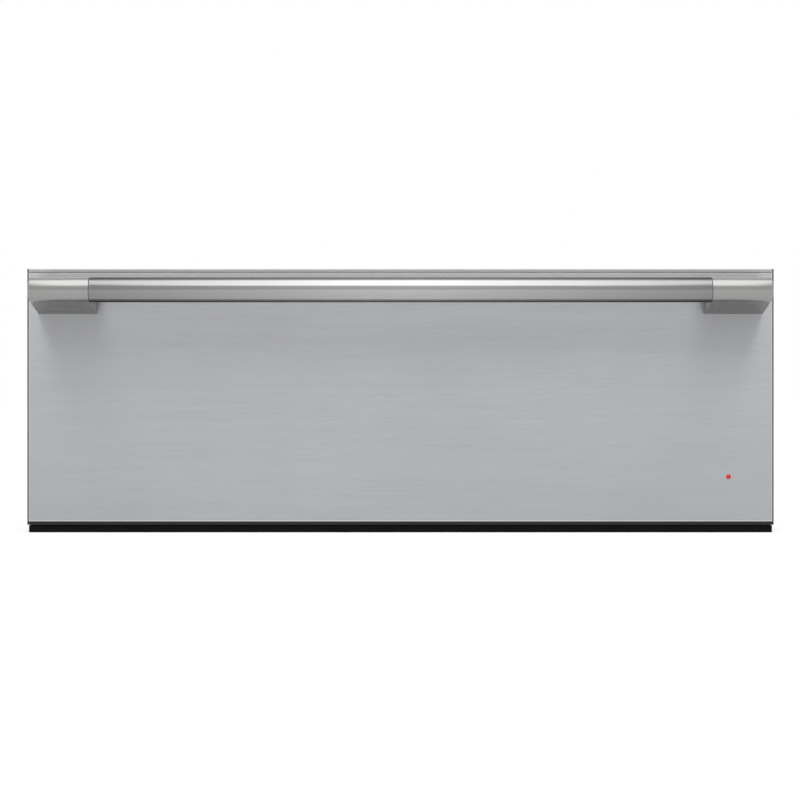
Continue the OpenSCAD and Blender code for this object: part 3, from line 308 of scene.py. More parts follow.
@dataclass(frozen=True)
class Finish:
    """What every finish has.

    Attributes:
        name: Plain name of the finish.
        colour: Base colour, linear.
        roughness: Middle roughness.
        slot: The record's material slot; not used.
        rubbed: Width of the band along a piece's edges that handling has rubbed lighter.
    """

    name: str
    colour: Colour
    roughness: float
    slot: str
    rubbed: float = 0.0008

    def tone(self, factor: float) -> tuple[float, float, float, float]:
        """Returns the colour made lighter or darker by a factor, with full alpha."""
        red, green, blue = (min(1.0, part * factor) for part in self.colour)
        return red, green, blue, 1.0

    def material(self, piece: str, low: Vector, high: Vector) -> bpy.types.Material:
        """Builds the finish for one piece.

        Args:
            piece: Name of the piece.
            low: Lowest corner of the piece.
            high: Highest corner of the piece.

        Returns:
            The material.
        """
        material = bpy.data.materials.new(f"{self.name}.{piece}")
        material.use_nodes = True
        material.diffuse_color = self.tone(1.0)
        wiring = Wiring(material.node_tree)
        shader = material.node_tree.nodes["Principled BSDF"]
        point = wiring.point()
        wiring.feed(shader, {"Base Color": self.tone(1.0), "Roughness": self.roughness})
        edge = RUBBED_EDGES.place(wiring, Point=point, Low=low, High=high, Width=self.rubbed)
        self.wire(wiring, shader, point, edge.outputs["Mask"])
        return material

    def wire(self, wiring: Wiring, shader: bpy.types.Node, point, edge) -> None:
        """Adds the finish's own nodes.

        Args:
            wiring: The material's node tree.
            shader: Its Principled BSDF.
            point: The object coordinate.
            edge: The mask of the piece's rubbed edges.
        """
        raise NotImplementedError

    def bump(self, wiring: Wiring, shader: bpy.types.Node, height, strength: float, depth: float) -> None:
        """Feeds a height into the shader's normal."""
        inputs = {"Height": height, "Strength": strength, "Distance": depth}
        wiring.set(shader.inputs["Normal"], wiring.out("ShaderNodeBump", inputs, "Normal"))

    def dress(self, piece: Piece) -> None:
        """Gives a piece, or a solid of the frame, this finish."""
        low, high = box_of(vertex.co for vertex in piece.data.vertices)
        material = self.material(piece.name, low, high)
        if not piece.material_slots:
            piece.data.materials.append(material)
        for place in piece.material_slots:
            place.material = material


@dataclass(frozen=True)
class BrushedSteel(Finish):
    """Stainless or plated steel with fine parallel scratches, soft clouds and lighter rubbed edges.

    Attributes:
        grain: Direction of the scratches.
        line: Width of the finest scratches.
        contrast: How much the scratches change the colour, as a share of it.
        depth: Depth of the scratches.
        anisotropy: How much longer the gloss is across the scratches.
        rim: Tone of the gloss where the surface turns away.
    """

    grain: Grain = Grain.ALONG_X
    line: float = 0.0006
    contrast: float = 0.06
    depth: float = 0.00002
    anisotropy: float = 0.0
    rim: float = 1.0

    def wire(self, wiring: Wiring, shader: bpy.types.Node, point, edge) -> None:
        """Mixes the base from scratches, clouds and edges, and varies the roughness with them."""
        along = wiring.vector("MULTIPLY", point, self.grain.value)
        streaks, height = BRUSHING.place(wiring, Along=along, Line_Width=self.line).outputs
        patch = CLOUDING.place(wiring, Point=point, Patch_Size=0.11).outputs["Patch"]
        streak = wiring.span(streaks, 0.36, 0.64)
        dark = self.tone(1.0 - self.contrast)
        metal = wiring.mix(streak, dark, self.tone(1.0 + self.contrast))
        metal = wiring.over(patch, 0.18, metal, self.tone(0.9))
        metal = wiring.over(edge, 0.4, metal, self.tone(1.25))
        rough = wiring.math("MULTIPLY_ADD", streak, 0.06, self.roughness - 0.04)
        rough = wiring.math("MULTIPLY_ADD", patch, 0.05, rough, clamp=True)
        inputs = {
            "Base Color": metal,
            "Roughness": rough,
            "Metallic": 1.0,
            "Anisotropic": self.anisotropy,
            "Anisotropic Rotation": 0.25,
            "Specular Tint": (self.rim, self.rim, self.rim, 1.0),
        }
        wiring.feed(shader, inputs)
        self.bump(wiring, shader, height, 0.35, self.depth)


@dataclass(frozen=True)
class LightPaintedSteel(BrushedSteel):
    """Brushed steel with light and shade painted into its base colour at set places of a piece."""

    def material(self, piece: str, low: Vector, high: Vector) -> bpy.types.Material:
        """Lays the painted light and shade over the brushed base colour."""
        material = super().material(piece, low, high)
        wiring = Wiring(material.node_tree)
        base = material.node_tree.nodes["Principled BSDF"].inputs["Base Color"]
        metal = base.links[0].from_socket
        wiring.set(base, self.paint_light_and_shade(wiring, metal, wiring.parts(wiring.point()), low, high))
        return material

    def paint_light_and_shade(self, wiring: Wiring, metal, place, low: Vector, high: Vector) -> Socket:
        """Returns the base colour with the painted light and shade on it.

        Args:
            wiring: The material's node tree.
            metal: The brushed base colour.
            place: The object coordinate's three parts.
            low: Lowest corner of the piece.
            high: Highest corner of the piece.
        """
        raise NotImplementedError


@dataclass(frozen=True)
class FoldedSteel(LightPaintedSteel):
    """Brushed sheet with painted shade on its left and right folds, and painted highlight lines inside them
    and at the foot.

    Attributes:
        fold: Width of the painted shade line on the left and the right fold.
        painted_highlight_width: Width of the painted highlight lines.
        shade: Tone of the painted shade line, as a share of the colour.
        painted_highlight_tones: Tones of the painted highlight lines at the sides and at the foot.
    """

    fold: float = 1.7 * MM
    painted_highlight_width: float = 1.0 * MM
    shade: float = 0.16
    painted_highlight_tones: Point = (1.2, 1.45)

    def paint_light_and_shade(self, wiring: Wiring, metal, place, low: Vector, high: Vector) -> Socket:
        """Paints the shade and highlight lines, by the distance from the piece's sides and its lower edge.
        """
        side = wiring.math("SUBTRACT", high.x, wiring.math("ABSOLUTE", place[0]))
        foot = wiring.math("SUBTRACT", place[2], low.z)
        ahead = wiring.math("LESS_THAN", place[1], low.y + 2 * self.fold)
        # painted shade: a dark line along the front of each side fold
        dark = wiring.math("MULTIPLY", ahead, wiring.math("LESS_THAN", side, self.fold))
        # painted highlight: a bright line just inside each side fold
        line = wiring.math("COMPARE", side, self.fold + self.painted_highlight_width / 2, self.painted_highlight_width / 2)
        metal = wiring.mix(line, metal, self.tone(self.painted_highlight_tones[0]))
        # painted highlight: a bright line along the foot of the front
        foot_highlight_mask = wiring.math("MULTIPLY", ahead, wiring.math("LESS_THAN", foot, 1.3 * self.painted_highlight_width))
        metal = wiring.mix(foot_highlight_mask, metal, self.tone(self.painted_highlight_tones[1]))
        return wiring.mix(dark, metal, self.tone(self.shade))


@dataclass(frozen=True)
class BarSteel(LightPaintedSteel):
    """Brushed bar with painted shade, whose tone falls toward its two ends, as in the photo.

    Attributes:
        ends: Tone of the painted shade at the ends, as a share of the colour.
    """

    ends: float = 0.58

    def paint_light_and_shade(self, wiring: Wiring, metal, place, low: Vector, high: Vector) -> Socket:
        """Paints shade on the bar, darker from its middle to its ends."""
        # painted shade: darker toward both ends of the bar
        outward = wiring.span(wiring.math("ABSOLUTE", place[0]), 0.1 * high.x, high.x, 0.0, 1.0)
        return wiring.mix(outward, metal, self.tone(self.ends))


@dataclass(frozen=True)
class ZincCoat(Finish):
    """Galvanised sheet: grey crystals of different tones with faint borders, and a dusty cast."""

    crystal: float = 0.007

    def wire(self, wiring: Wiring, shader: bpy.types.Node, point, edge) -> None:
        """Colours each crystal, lays a thin dust on it and lightens the cut edges."""
        grey, border = SPANGLE.place(wiring, Point=point, Crystal_Size=self.crystal).outputs
        patch = CLOUDING.place(wiring, Point=point, Patch_Size=0.09).outputs["Patch"]
        tone = wiring.mix(grey, self.tone(0.82), self.tone(1.14))
        tone = wiring.over(border, 0.25, tone, self.tone(0.7))
        tone = wiring.over(patch, 0.22, tone, self.tone(0.88))
        tone = wiring.over(edge, 0.5, tone, self.tone(1.3))
        rough = wiring.math("MULTIPLY_ADD", grey, 0.16, self.roughness - 0.08)
        inputs = {
            "Base Color": tone,
            "Roughness": rough,
            "Metallic": wiring.math("MULTIPLY_ADD", patch, -0.15, 0.95),
        }
        wiring.feed(shader, inputs)
        self.bump(wiring, shader, grey, 0.15, 0.00004)


@dataclass(frozen=True)
class PolishedMetal(Finish):
    """Plated or turned metal: nearly smooth, with faint clouds and a slightly grimy film."""

    film: Colour = (0.3, 0.3, 0.3)

    def wire(self, wiring: Wiring, shader: bpy.types.Node, point, edge) -> None:
        """Varies tone and roughness with soft clouds and specks."""
        patch, speck = CLOUDING.place(wiring, Point=point, Patch_Size=0.02).outputs
        tone = wiring.over(patch, 0.2, self.tone(1.0), (*self.film, 1.0))
        tone = wiring.over(edge, 0.3, tone, self.tone(1.2))
        rough = wiring.math("MULTIPLY_ADD", patch, 0.1, self.roughness - 0.03)
        rough = wiring.math("MULTIPLY_ADD", speck, 0.08, rough, clamp=True)
        wiring.feed(shader, {"Base Color": tone, "Roughness": rough, "Metallic": 1.0})
        self.bump(wiring, shader, speck, 0.08, 0.00002)


@dataclass(frozen=True)
class HeatTinted(Finish):
    """Heater sheath: dark oxidised alloy with blue and straw patches where it runs hot."""

    def wire(self, wiring: Wiring, shader: bpy.types.Node, point, edge) -> None:
        """Mixes oxide, blue and straw tones over fine drawing marks."""
        patch, speck = CLOUDING.place(wiring, Point=point, Patch_Size=0.035).outputs
        broad = wiring.span(wiring.noise(point, 9.0, 2.0), 0.4, 0.65)
        tone = wiring.mix(patch, self.tone(0.8), (0.11, 0.12, 0.16, 1.0))
        tone = wiring.over(broad, 0.5, tone, (0.25, 0.18, 0.10, 1.0))
        tone = wiring.over(edge, 0.2, tone, self.tone(1.3))
        rough = wiring.math("MULTIPLY_ADD", patch, 0.18, self.roughness - 0.08)
        wiring.feed(shader, {"Base Color": tone, "Roughness": rough, "Metallic": 0.85})
        self.bump(wiring, shader, speck, 0.2, 0.00003)


@dataclass(frozen=True)
class Coated(Finish):
    """Paint, plastic or rubber with a fine moulded grain, dust in soft patches and rubbed edges.

    Attributes:
        grain_scale: Bumps of the grain to the metre.
        grain_depth: Height of the grain.
        coat: Strength of a clear gloss over it.
        dust: How much pale dust lies on it.
        gloss: How strongly the bare surface mirrors.
    """

    grain_scale: float = 900.0
    grain_depth: float = 0.00005
    coat: float = 0.0
    dust: float = 0.12
    gloss: float = 0.5

    def wire(self, wiring: Wiring, shader: bpy.types.Node, point, edge) -> None:
        """Adds the grain, a haze of dust and the rubbed edges."""
        patch, speck = CLOUDING.place(wiring, Point=point, Patch_Size=0.05).outputs
        grain = wiring.noise(point, self.grain_scale, 2.0, 0.55)
        tone = wiring.mix(wiring.span(grain, 0.35, 0.65), self.tone(0.88), self.tone(1.12))
        haze = wiring.math("MULTIPLY", patch, speck)
        haze = wiring.math("MULTIPLY", haze, self.dust)
        tone = wiring.mix(haze, tone, (0.35, 0.34, 0.32, 1.0))
        tone = wiring.over(edge, 0.35, tone, self.tone(1.7))
        rough = wiring.math("MULTIPLY_ADD", patch, 0.1, self.roughness - 0.05, clamp=True)
        inputs = {
            "Base Color": tone,
            "Roughness": rough,
            "Specular IOR Level": self.gloss,
            "Coat Weight": self.coat,
            "Coat Roughness": 0.12,
        }
        wiring.feed(shader, inputs)
        self.bump(wiring, shader, grain, 0.5, self.grain_depth)


@dataclass(frozen=True)
class GlassWool(Finish):
    """Compressed glass wool: matted pale yellow fibres in loose layers."""

    def wire(self, wiring: Wiring, shader: bpy.types.Node, point, edge) -> None:
        """Crosses three directions of thin fibres over soft lumps."""
        fibres = []
        for scale in ((0.06, 1.0, 0.8), (1.0, 0.07, 0.9), (0.9, 0.8, 0.08)):
            fibres.append(wiring.noise(wiring.vector("MULTIPLY", point, scale), 700.0, 3.0, 0.6))
        matted = wiring.math("MAXIMUM", wiring.math("MAXIMUM", fibres[0], fibres[1]), fibres[2])
        patch = CLOUDING.place(wiring, Point=point, Patch_Size=0.03).outputs["Patch"]
        tone = wiring.mix(wiring.span(matted, 0.45, 0.75), self.tone(0.6), self.tone(1.15))
        tone = wiring.over(patch, 0.3, tone, (0.48, 0.38, 0.2, 1.0))
        tone = wiring.over(edge, 0.3, tone, self.tone(0.8))
        wiring.set(shader.inputs["Base Color"], tone)
        self.bump(wiring, shader, matted, 0.9, 0.0012)


@dataclass(frozen=True)
class ClearPlastic(Finish):
    """Tinted clear plastic over something: glossy, faintly uneven, with its own glow.

    Attributes:
        glow: Strength of the light that it passes on.
        coat: How strong the clear coat is.
    """

    glow: float = 0.0
    coat: float = 1.0

    def wire(self, wiring: Wiring, shader: bpy.types.Node, point, edge) -> None:
        """Adds a soft depth to the colour, a clear coat and the glow."""
        depth = wiring.span(wiring.noise(point, 500.0, 2.0), 0.3, 0.7)
        tone = wiring.mix(depth, self.tone(0.8), self.tone(1.2))
        tone = wiring.over(edge, 0.15, tone, self.tone(1.5))
        wiring.feed(shader, {"Base Color": tone, "Coat Weight": self.coat, "Coat Roughness": 0.05})
        if self.glow:
            wiring.set(shader.inputs["Emission Color"], tone)
            shader.inputs["Emission Strength"].default_value = self.glow


@dataclass(frozen=True)
class CircuitBoard(Finish):
    """Green board with copper tracks under its lacquer, and parts of different colours standing on it.

    Attributes:
        board_y: How far back the board's own faces reach; what lies further is a part.
        board_y0: Where the board starts; what lies before it is a part too.
    """

    board_y0: float = 0.0
    board_y: float = 0.0

    def wire(self, wiring: Wiring, shader: bpy.types.Node, point, edge) -> None:
        """Draws the tracks and colours the parts by where they stand."""
        flat = wiring.vector("MULTIPLY", point, (1.0, 0.0, 0.45))
        inputs = {"Vector": flat, "Scale": 130.0, "Randomness": 0.35}
        edges = wiring.out("ShaderNodeTexVoronoi", inputs, "Distance", feature="DISTANCE_TO_EDGE")
        track = wiring.span(edges, 0.03, 0.06, 1.0, 0.0)
        lacquer = wiring.mix(track, self.tone(1.0), (0.05, 0.19, 0.05, 1.0))
        lots = wiring.out("ShaderNodeTexVoronoi", {"Vector": point, "Scale": 22.0}, "Color")
        choice = wiring.out("ShaderNodeSeparateColor", {0: lots})
        black, blue = (0.02, 0.02, 0.025, 1.0), (0.05, 0.07, 0.16, 1.0)
        part = wiring.mix(wiring.span(choice, 0.45, 0.55), black, blue)
        part = wiring.mix(wiring.span(choice, 0.75, 0.8), part, (0.5, 0.48, 0.42, 1.0))
        place = wiring.parts(point)[1]
        behind = wiring.math("GREATER_THAN", place, self.board_y + 0.0002)
        before = wiring.math("LESS_THAN", place, self.board_y0 - 0.0002)
        standing = wiring.math("MAXIMUM", behind, before)
        tone = wiring.mix(standing, lacquer, part)
        tone = wiring.over(edge, 0.2, tone, self.tone(1.6))
        inputs = {
            "Base Color": tone,
            "Roughness": wiring.math("MULTIPLY_ADD", standing, 0.15, self.roughness),
        }
        wiring.feed(shader, inputs)
        self.bump(wiring, shader, track, 0.3, 0.00005)


@dataclass(frozen=True)
class BraidedSleeve(Finish):
    """Woven glass sleeve over wires: two sets of strands that cross."""

    def wire(self, wiring: Wiring, shader: bpy.types.Node, point, edge) -> None:
        """Crosses two diagonal waves."""
        waves = []
        for turn in ((1.0, 1.0, 1.0), (1.0, 1.0, -1.0)):
            inputs = {"Vector": wiring.vector("MULTIPLY", point, turn), "Scale": 420.0, "Distortion": 0.6}
            waves.append(wiring.out("ShaderNodeTexWave", inputs, "Fac", bands_direction="DIAGONAL"))
        strands = wiring.math("MAXIMUM", *waves)
        patch = CLOUDING.place(wiring, Point=point, Patch_Size=0.02).outputs["Patch"]
        tone = wiring.mix(wiring.span(strands, 0.4, 0.95), self.tone(0.5), self.tone(1.4))
        tone = wiring.over(patch, 0.2, tone, (0.2, 0.19, 0.17, 1.0))
        tone = wiring.over(edge, 0.1, tone, self.tone(1.2))
        wiring.set(shader.inputs["Base Color"], tone)
        self.bump(wiring, shader, strands, 0.8, 0.0003)


# front and cap: painted shade lines on their side folds; the front also has painted highlight lines beside
# them and at its foot
FRONT_STEEL = FoldedSteel("front_steel", (0.385, 0.389, 0.397), 0.38, "front_steel", anisotropy=0.9)
TRIM_STEEL = FoldedSteel(
    "trim_steel", (0.41, 0.413, 0.417), 0.4, "front_steel", contrast=0.04, painted_highlight_tones=(1.0, 1.0)
)
# handle bar: brushed steel with painted shade toward its two ends
HANDLE_STEEL = BarSteel(
    "handle_steel", (0.36, 0.36, 0.36), 0.17, "handle_steel", rubbed=0.0004, contrast=0.04, rim=0.2
)
# painted shade: the brackets are a darker copy of the handle's steel, matching the shaded ends of the bar
SHADED_BRACKET_STEEL = BrushedSteel("bracket_steel", (0.28, 0.278, 0.275), 0.26, "bracket_steel", contrast=0.04)
INNER_STEEL = BrushedSteel("inner_steel", (0.5, 0.5, 0.505), 0.34, "inner_steel", contrast=0.07)
PAN_STEEL = BrushedSteel(
    "pan_steel", (0.5, 0.5, 0.505), 0.3, "inner_steel", grain=Grain.ALONG_Y, contrast=0.05
)
LINER_STEEL = BrushedSteel("liner_steel", (0.46, 0.46, 0.462), 0.38, "inner_steel", grain=Grain.ALONG_Y)
SLIDE_STEEL = BrushedSteel("slide_steel", (0.47, 0.48, 0.49), 0.3, "slide_steel", grain=Grain.ALONG_Y)
PLATE_STEEL = ZincCoat("plate_steel", (0.44, 0.45, 0.46), 0.55, "plate_steel")
SCREW_STEEL = PolishedMetal("screw_steel", (0.5, 0.5, 0.49), 0.26, "screw_steel", rubbed=0.0003)
CAGE_BRASS = PolishedMetal("cage_brass", (0.52, 0.37, 0.16), 0.3, "cage_brass", rubbed=0.0003)
RACK_CHROME = PolishedMetal("rack_chrome", (0.62, 0.63, 0.64), 0.12, "rack_chrome", rubbed=0.0003)
PROBE_STEEL = PolishedMetal("probe_steel", (0.5, 0.5, 0.5), 0.25, "probe_steel", rubbed=0.0003)
ELEMENT_SHEATH = HeatTinted("element_sheath", (0.16, 0.14, 0.13), 0.45, "element_sheath")
DARK_STRIP = Coated("dark_strip", (0.016, 0.014, 0.015), 0.4, "dark_strip", grain_depth=0.00002, gloss=0.3)
BLACK_STRIP = Coated("black_strip", (0.004, 0.004, 0.004), 0.6, "black_strip", dust=0.04, gloss=0.12)
RUNNER_STEEL = Coated("runner_steel", (0.06, 0.06, 0.062), 0.5, "runner_steel")
SEAL_RUBBER = Coated("seal_rubber", (0.012, 0.012, 0.012), 0.6, "seal_rubber", grain_scale=1600.0, dust=0.3)
STRIP_PLASTIC = Coated(
    "strip_plastic", (0.012, 0.012, 0.014), 0.28, "strip_plastic", grain_depth=0.00001, coat=0.4
)
KEY_PLASTIC = Coated("key_plastic", (0.035, 0.035, 0.038), 0.42, "key_plastic", grain_scale=2200.0)
MARK_PAINT = Coated("mark_paint", (0.72, 0.73, 0.74), 0.5, "key_plastic", grain_scale=3000.0, rubbed=0.0001)
GLAND_PLASTIC = Coated("gland_plastic", (0.02, 0.02, 0.021), 0.45, "gland_plastic")
WINDOW_PLASTIC = ClearPlastic("window_plastic", (0.008, 0.006, 0.01), 0.08, "window_plastic")
RED_LENS = ClearPlastic(
    "red_lens", (0.6, 0.003, 0.002), 0.12, "red_lens", rubbed=0.0003, glow=0.25, coat=0.1
)
LAMP_PLASTIC = ClearPlastic("lamp_plastic", (0.6, 0.05, 0.03), 0.2, "red_lens", glow=0.6)
WOOL = GlassWool("glass_wool", (0.72, 0.6, 0.3), 0.95, "glass_wool")
LOOM_SLEEVE = BraidedSleeve("loom_sleeve", (0.05, 0.05, 0.052), 0.8, "loom_sleeve")


# ---------------------------------------------------------------------------------------------- meshes


def box_of(places) -> tuple[Vector, Vector]:
    """Returns the lowest and the highest corner of a set of places."""
    axes = list(zip(*places))
    return Vector([min(axis) for axis in axes]), Vector([max(axis) for axis in axes])


def middle(low: Vector, high: Vector, flat: int) -> Vector:
    """Returns the middle of a box, with 0 on one axis."""
    return Vector([0.0 if axis == flat else (low[axis] + high[axis]) / 2 for axis in range(3)])


def placed(name: str, data) -> Piece:
    """Returns a new object in the scene."""
    piece = bpy.data.objects.new(name, data)
    bpy.context.scene.collection.objects.link(piece)
    return piece


def piece_from(name: str, form: Form, crease: float = 35.0) -> Piece:
    """Makes a finished object from a bmesh, with outward faces and smooth curves.

    Args:
        name: Name of the piece.
        form: Its shape, which is freed.
        crease: Edges sharper than this angle, in degrees, stay sharp.

    Returns:
        The new object.
    """
    bmesh.ops.remove_doubles(form, verts=form.verts, dist=MERGE)
    bmesh.ops.recalc_face_normals(form, faces=form.faces)
    mesh = bpy.data.meshes.new(name)
    form.to_mesh(mesh)
    form.free()
    mesh.shade_smooth()
    mesh.set_sharp_from_angle(angle=math.radians(crease))
    return placed(name, mesh)


def settled(piece: Piece) -> Piece:
    """Turns a piece and its modifiers into a plain mesh and returns it."""
    bpy.context.view_layer.update()
    graph = bpy.context.evaluated_depsgraph_get()
    mesh = bpy.data.meshes.new_from_object(piece.evaluated_get(graph))
    piece.modifiers.clear()
    piece.data = mesh
    mesh.name = piece.name
    return piece


def softened(piece: Piece, width: float, steps: int = 2) -> Piece:
    """Rounds a piece's sharp edges by a small width and returns it."""
    bevel = piece.modifiers.new("soft_edges", "BEVEL")
    bevel.width = width
    bevel.segments = steps
    bevel.limit_method = "ANGLE"
    bevel.angle_limit = math.radians(50)
    bevel.harden_normals = True
    return settled(piece)


def refined(node: str, name: str, edge: float = 0.0) -> Piece:
    """Makes a finer copy of a solid of the frame: merged, smooth on its curves, and with soft edges.

    Args:
        node: The solid's name.
        name: Name of the new piece.
        edge: Width of the soft edges, or 0 for none.

    Returns:
        The new piece, which stands for the solid.
    """
    form = bmesh.new()
    form.from_mesh(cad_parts[node].data)
    bmesh.ops.remove_doubles(form, verts=form.verts, dist=MERGE)
    bmesh.ops.dissolve_limit(form, angle_limit=math.radians(0.5), verts=form.verts, edges=form.edges)
    piece = piece_from(name, form)
    if edge:
        softened(piece, edge)
    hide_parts(node)
    return piece


def loft(form: Form, loops: list[list[Vector]], capped: bool = True) -> None:
    """Joins closed loops of equally many points into a skin.

    Args:
        form: Where the faces go.
        loops: The loops, in order.
        capped: Whether the first and the last loop are closed by a face.
    """
    rings = [[form.verts.new(place) for place in loop] for loop in loops]
    count = len(rings[0])
    for first, second in zip(rings, rings[1:]):
        for k in range(count):
            m = (k + 1) % count
            form.faces.new((first[k], first[m], second[m], second[k]))
    if capped:
        form.faces.new(rings[0][::-1])
        form.faces.new(rings[-1])


def lathe(form: Form, centre: Vector, axis: str, profile: list[Point], steps=64) -> None:
    """Turns a closed profile round an axis.

    Args:
        form: Where the faces go.
        centre: A point on the axis, from which the profile's places are measured.
        axis: "x" or "y".
        profile: Places along the axis and radii; one that starts and ends on the axis is closed by it.
        steps: Number of steps round the axis.
    """
    loops = []
    for along, radius in profile:
        loop = []
        for k in range(steps):
            turn = math.tau * k / steps
            across, up = max(radius, 1e-7) * math.cos(turn), max(radius, 1e-7) * math.sin(turn)
            offset = (along, across, up) if axis == "x" else (across, along, up)
            loop.append(centre + Vector(offset))
        loops.append(loop)
    open_ends = profile[0][1] > 0.0
    if open_ends:
        loops.append(loops[0])
    loft(form, loops, capped=not open_ends)


def arc(centre: Point, radius: float, start: float, stop: float, steps: int) -> list[Point]:
    """Returns points along an arc, its ends included, with angles in degrees."""
    points = []
    for k in range(steps + 1):
        turn = math.radians(start + (stop - start) * k / steps)
        points.append((centre[0] + radius * math.cos(turn), centre[1] + radius * math.sin(turn)))
    return points


def round_rect(half_a: float, half_b: float, radius: float, steps: int = 8) -> list[Point]:
    """Returns the outline of a rectangle with round corners, centred."""
    points = []
    corners = ((1, 1, 0), (-1, 1, 90), (-1, -1, 180), (1, -1, 270))
    for side_a, side_b, start in corners:
        centre = (side_a * (half_a - radius), side_b * (half_b - radius))
        points += arc(centre, radius, start, start + 90, steps)
    return points


def inset(points: list[Point], distance: float) -> list[Point]:
    """Returns an outline moved inwards by a distance, corner by corner."""
    moved = []
    count = len(points)
    for k, here in enumerate(points):
        before, after = points[k - 1], points[(k + 1) % count]
        first = Vector((here[0] - before[0], here[1] - before[1])).normalized()
        second = Vector((after[0] - here[0], after[1] - here[1])).normalized()
        normal = Vector((-first.y - second.y, first.x + second.x))
        if normal.length < 1e-9:
            normal = Vector((-first.y, first.x))
        normal.normalize()
        reach = distance / max(0.35, normal.dot(Vector((-first.y, first.x))))
        moved.append((here[0] + normal.x * reach, here[1] + normal.y * reach))
    return moved


def rounded_run(outline: list[Point], start: float, stop: float, radii: Point, place) -> list[list[Vector]]:
    """Runs an outline through from start to stop, with its edges rounded at both ends.

    Args:
        outline: The outline, counter-clockwise in its own plane.
        start: Where the run starts.
        stop: Where it ends.
        radii: The rounding at the start and at the end.
        place: Gives a point in space from the place along the run and the outline's two coordinates.

    Returns:
        The loops of the run, for a loft.
    """
    loops = []
    stations = [(start, radii[0], 1, turn) for turn in (90, 60, 30, 0)]
    stations += [(stop, radii[1], -1, turn) for turn in (0, 30, 60, 90)]
    for end, radius, sign, turn in stations:
        along = end + sign * radius * (1 - math.sin(math.radians(turn)))
        drawn = inset(outline, radius * (1 - math.cos(math.radians(turn))))
        loops.append([Vector(place(along, a, b)) for a, b in drawn])
    return loops


class PlateShell:
    """A folded sheet seen from the front: its depth is the deeper of a plan outline and a side outline."""

    def __init__(self, half: float, z0: float, z1: float, y0: float, y1: float) -> None:
        """Keeps the shell's outer box: half its width, its lower and upper edge, its front and its back."""
        self.half, self.z0, self.z1, self.y0, self.y1 = half, z0, z1, y0, y1

    @staticmethod
    def stops(low: float, high: float, radii: Point, steps: int) -> list[Point]:
        """Returns places across a face with the depth of the fold at each.

        Args:
            low: One edge.
            high: The other edge.
            radii: The fold's radius at each of them; 0 leaves a square edge.
            steps: Steps round a fold.

        Returns:
            Pairs of place and depth behind the face.
        """
        first, second = radii
        turns = [math.radians(90 * k / steps) for k in range(steps + 1)]
        stops = [(low + first * (1 - math.cos(t)), first * (1 - math.sin(t))) for t in turns]
        stops += [(high - second * (1 - math.cos(t)), second * (1 - math.sin(t))) for t in turns[::-1]]
        kept = []
        for stop in stops:
            if not kept or stop[0] - kept[-1][0] > 1e-6:
                kept.append(stop)
        return kept

    def draw(self, form: Form, side_fold: float, edge_folds: Point) -> None:
        """Draws the closed outer skin.

        Args:
            form: Where the faces go.
            side_fold: Radius of the folds at the left and the right.
            edge_folds: Radii of the folds at the lower and the upper edge.
        """
        across = self.stops(-self.half, self.half, (side_fold, side_fold), 8)
        up = self.stops(self.z0, self.z1, edge_folds, 6)
        front = []
        for z, dip in up:
            front.append([form.verts.new((x, self.y0 + max(depth, dip), z)) for x, depth in across])
        for low, high in zip(front, front[1:]):
            for k in range(len(across) - 1):
                form.faces.new((low[k], low[k + 1], high[k + 1], high[k]))
        rim = front[0][:-1] + [row[-1] for row in front[:-1]]
        rim += front[-1][:0:-1] + [row[0] for row in front[:0:-1]]
        back = [form.verts.new((vertex.co.x, self.y1, vertex.co.z)) for vertex in rim]
        count = len(rim)
        for k in range(count):
            m = (k + 1) % count
            form.faces.new((rim[k], back[k], back[m], rim[m]))
        self.back = back

    def shell(self, name: str, side_fold: float, edge_folds: Point, sheet: float) -> Piece:
        """Makes an open-backed tray of one sheet's thickness.

        Args:
            name: Name of the piece.
            side_fold: Radius of the folds at the left and the right.
            edge_folds: Radii of the folds at the lower and the upper edge.
            sheet: Thickness of the sheet.

        Returns:
            The tray.
        """
        form = bmesh.new()
        self.draw(form, side_fold, edge_folds)
        tray = piece_from(name, form)
        wall = tray.modifiers.new("sheet", "SOLIDIFY")
        wall.thickness = sheet
        wall.offset = -1.0
        wall.use_even_offset = True
        return settled(tray)

    def block(self, name: str, side_fold: float, edge_folds: Point) -> Piece:
        """Makes a closed strip with folded edges, and returns it."""
        form = bmesh.new()
        self.draw(form, side_fold, edge_folds)
        form.faces.new(self.back)
        return piece_from(name, form)


# ---------------------------------------------------------------------------------------------- recipes


def sockets(kind: str, *names: str) -> tuple[tuple[str, str], ...]:
    """Returns the inputs of one kind with their names."""
    return tuple((name, kind) for name in names)


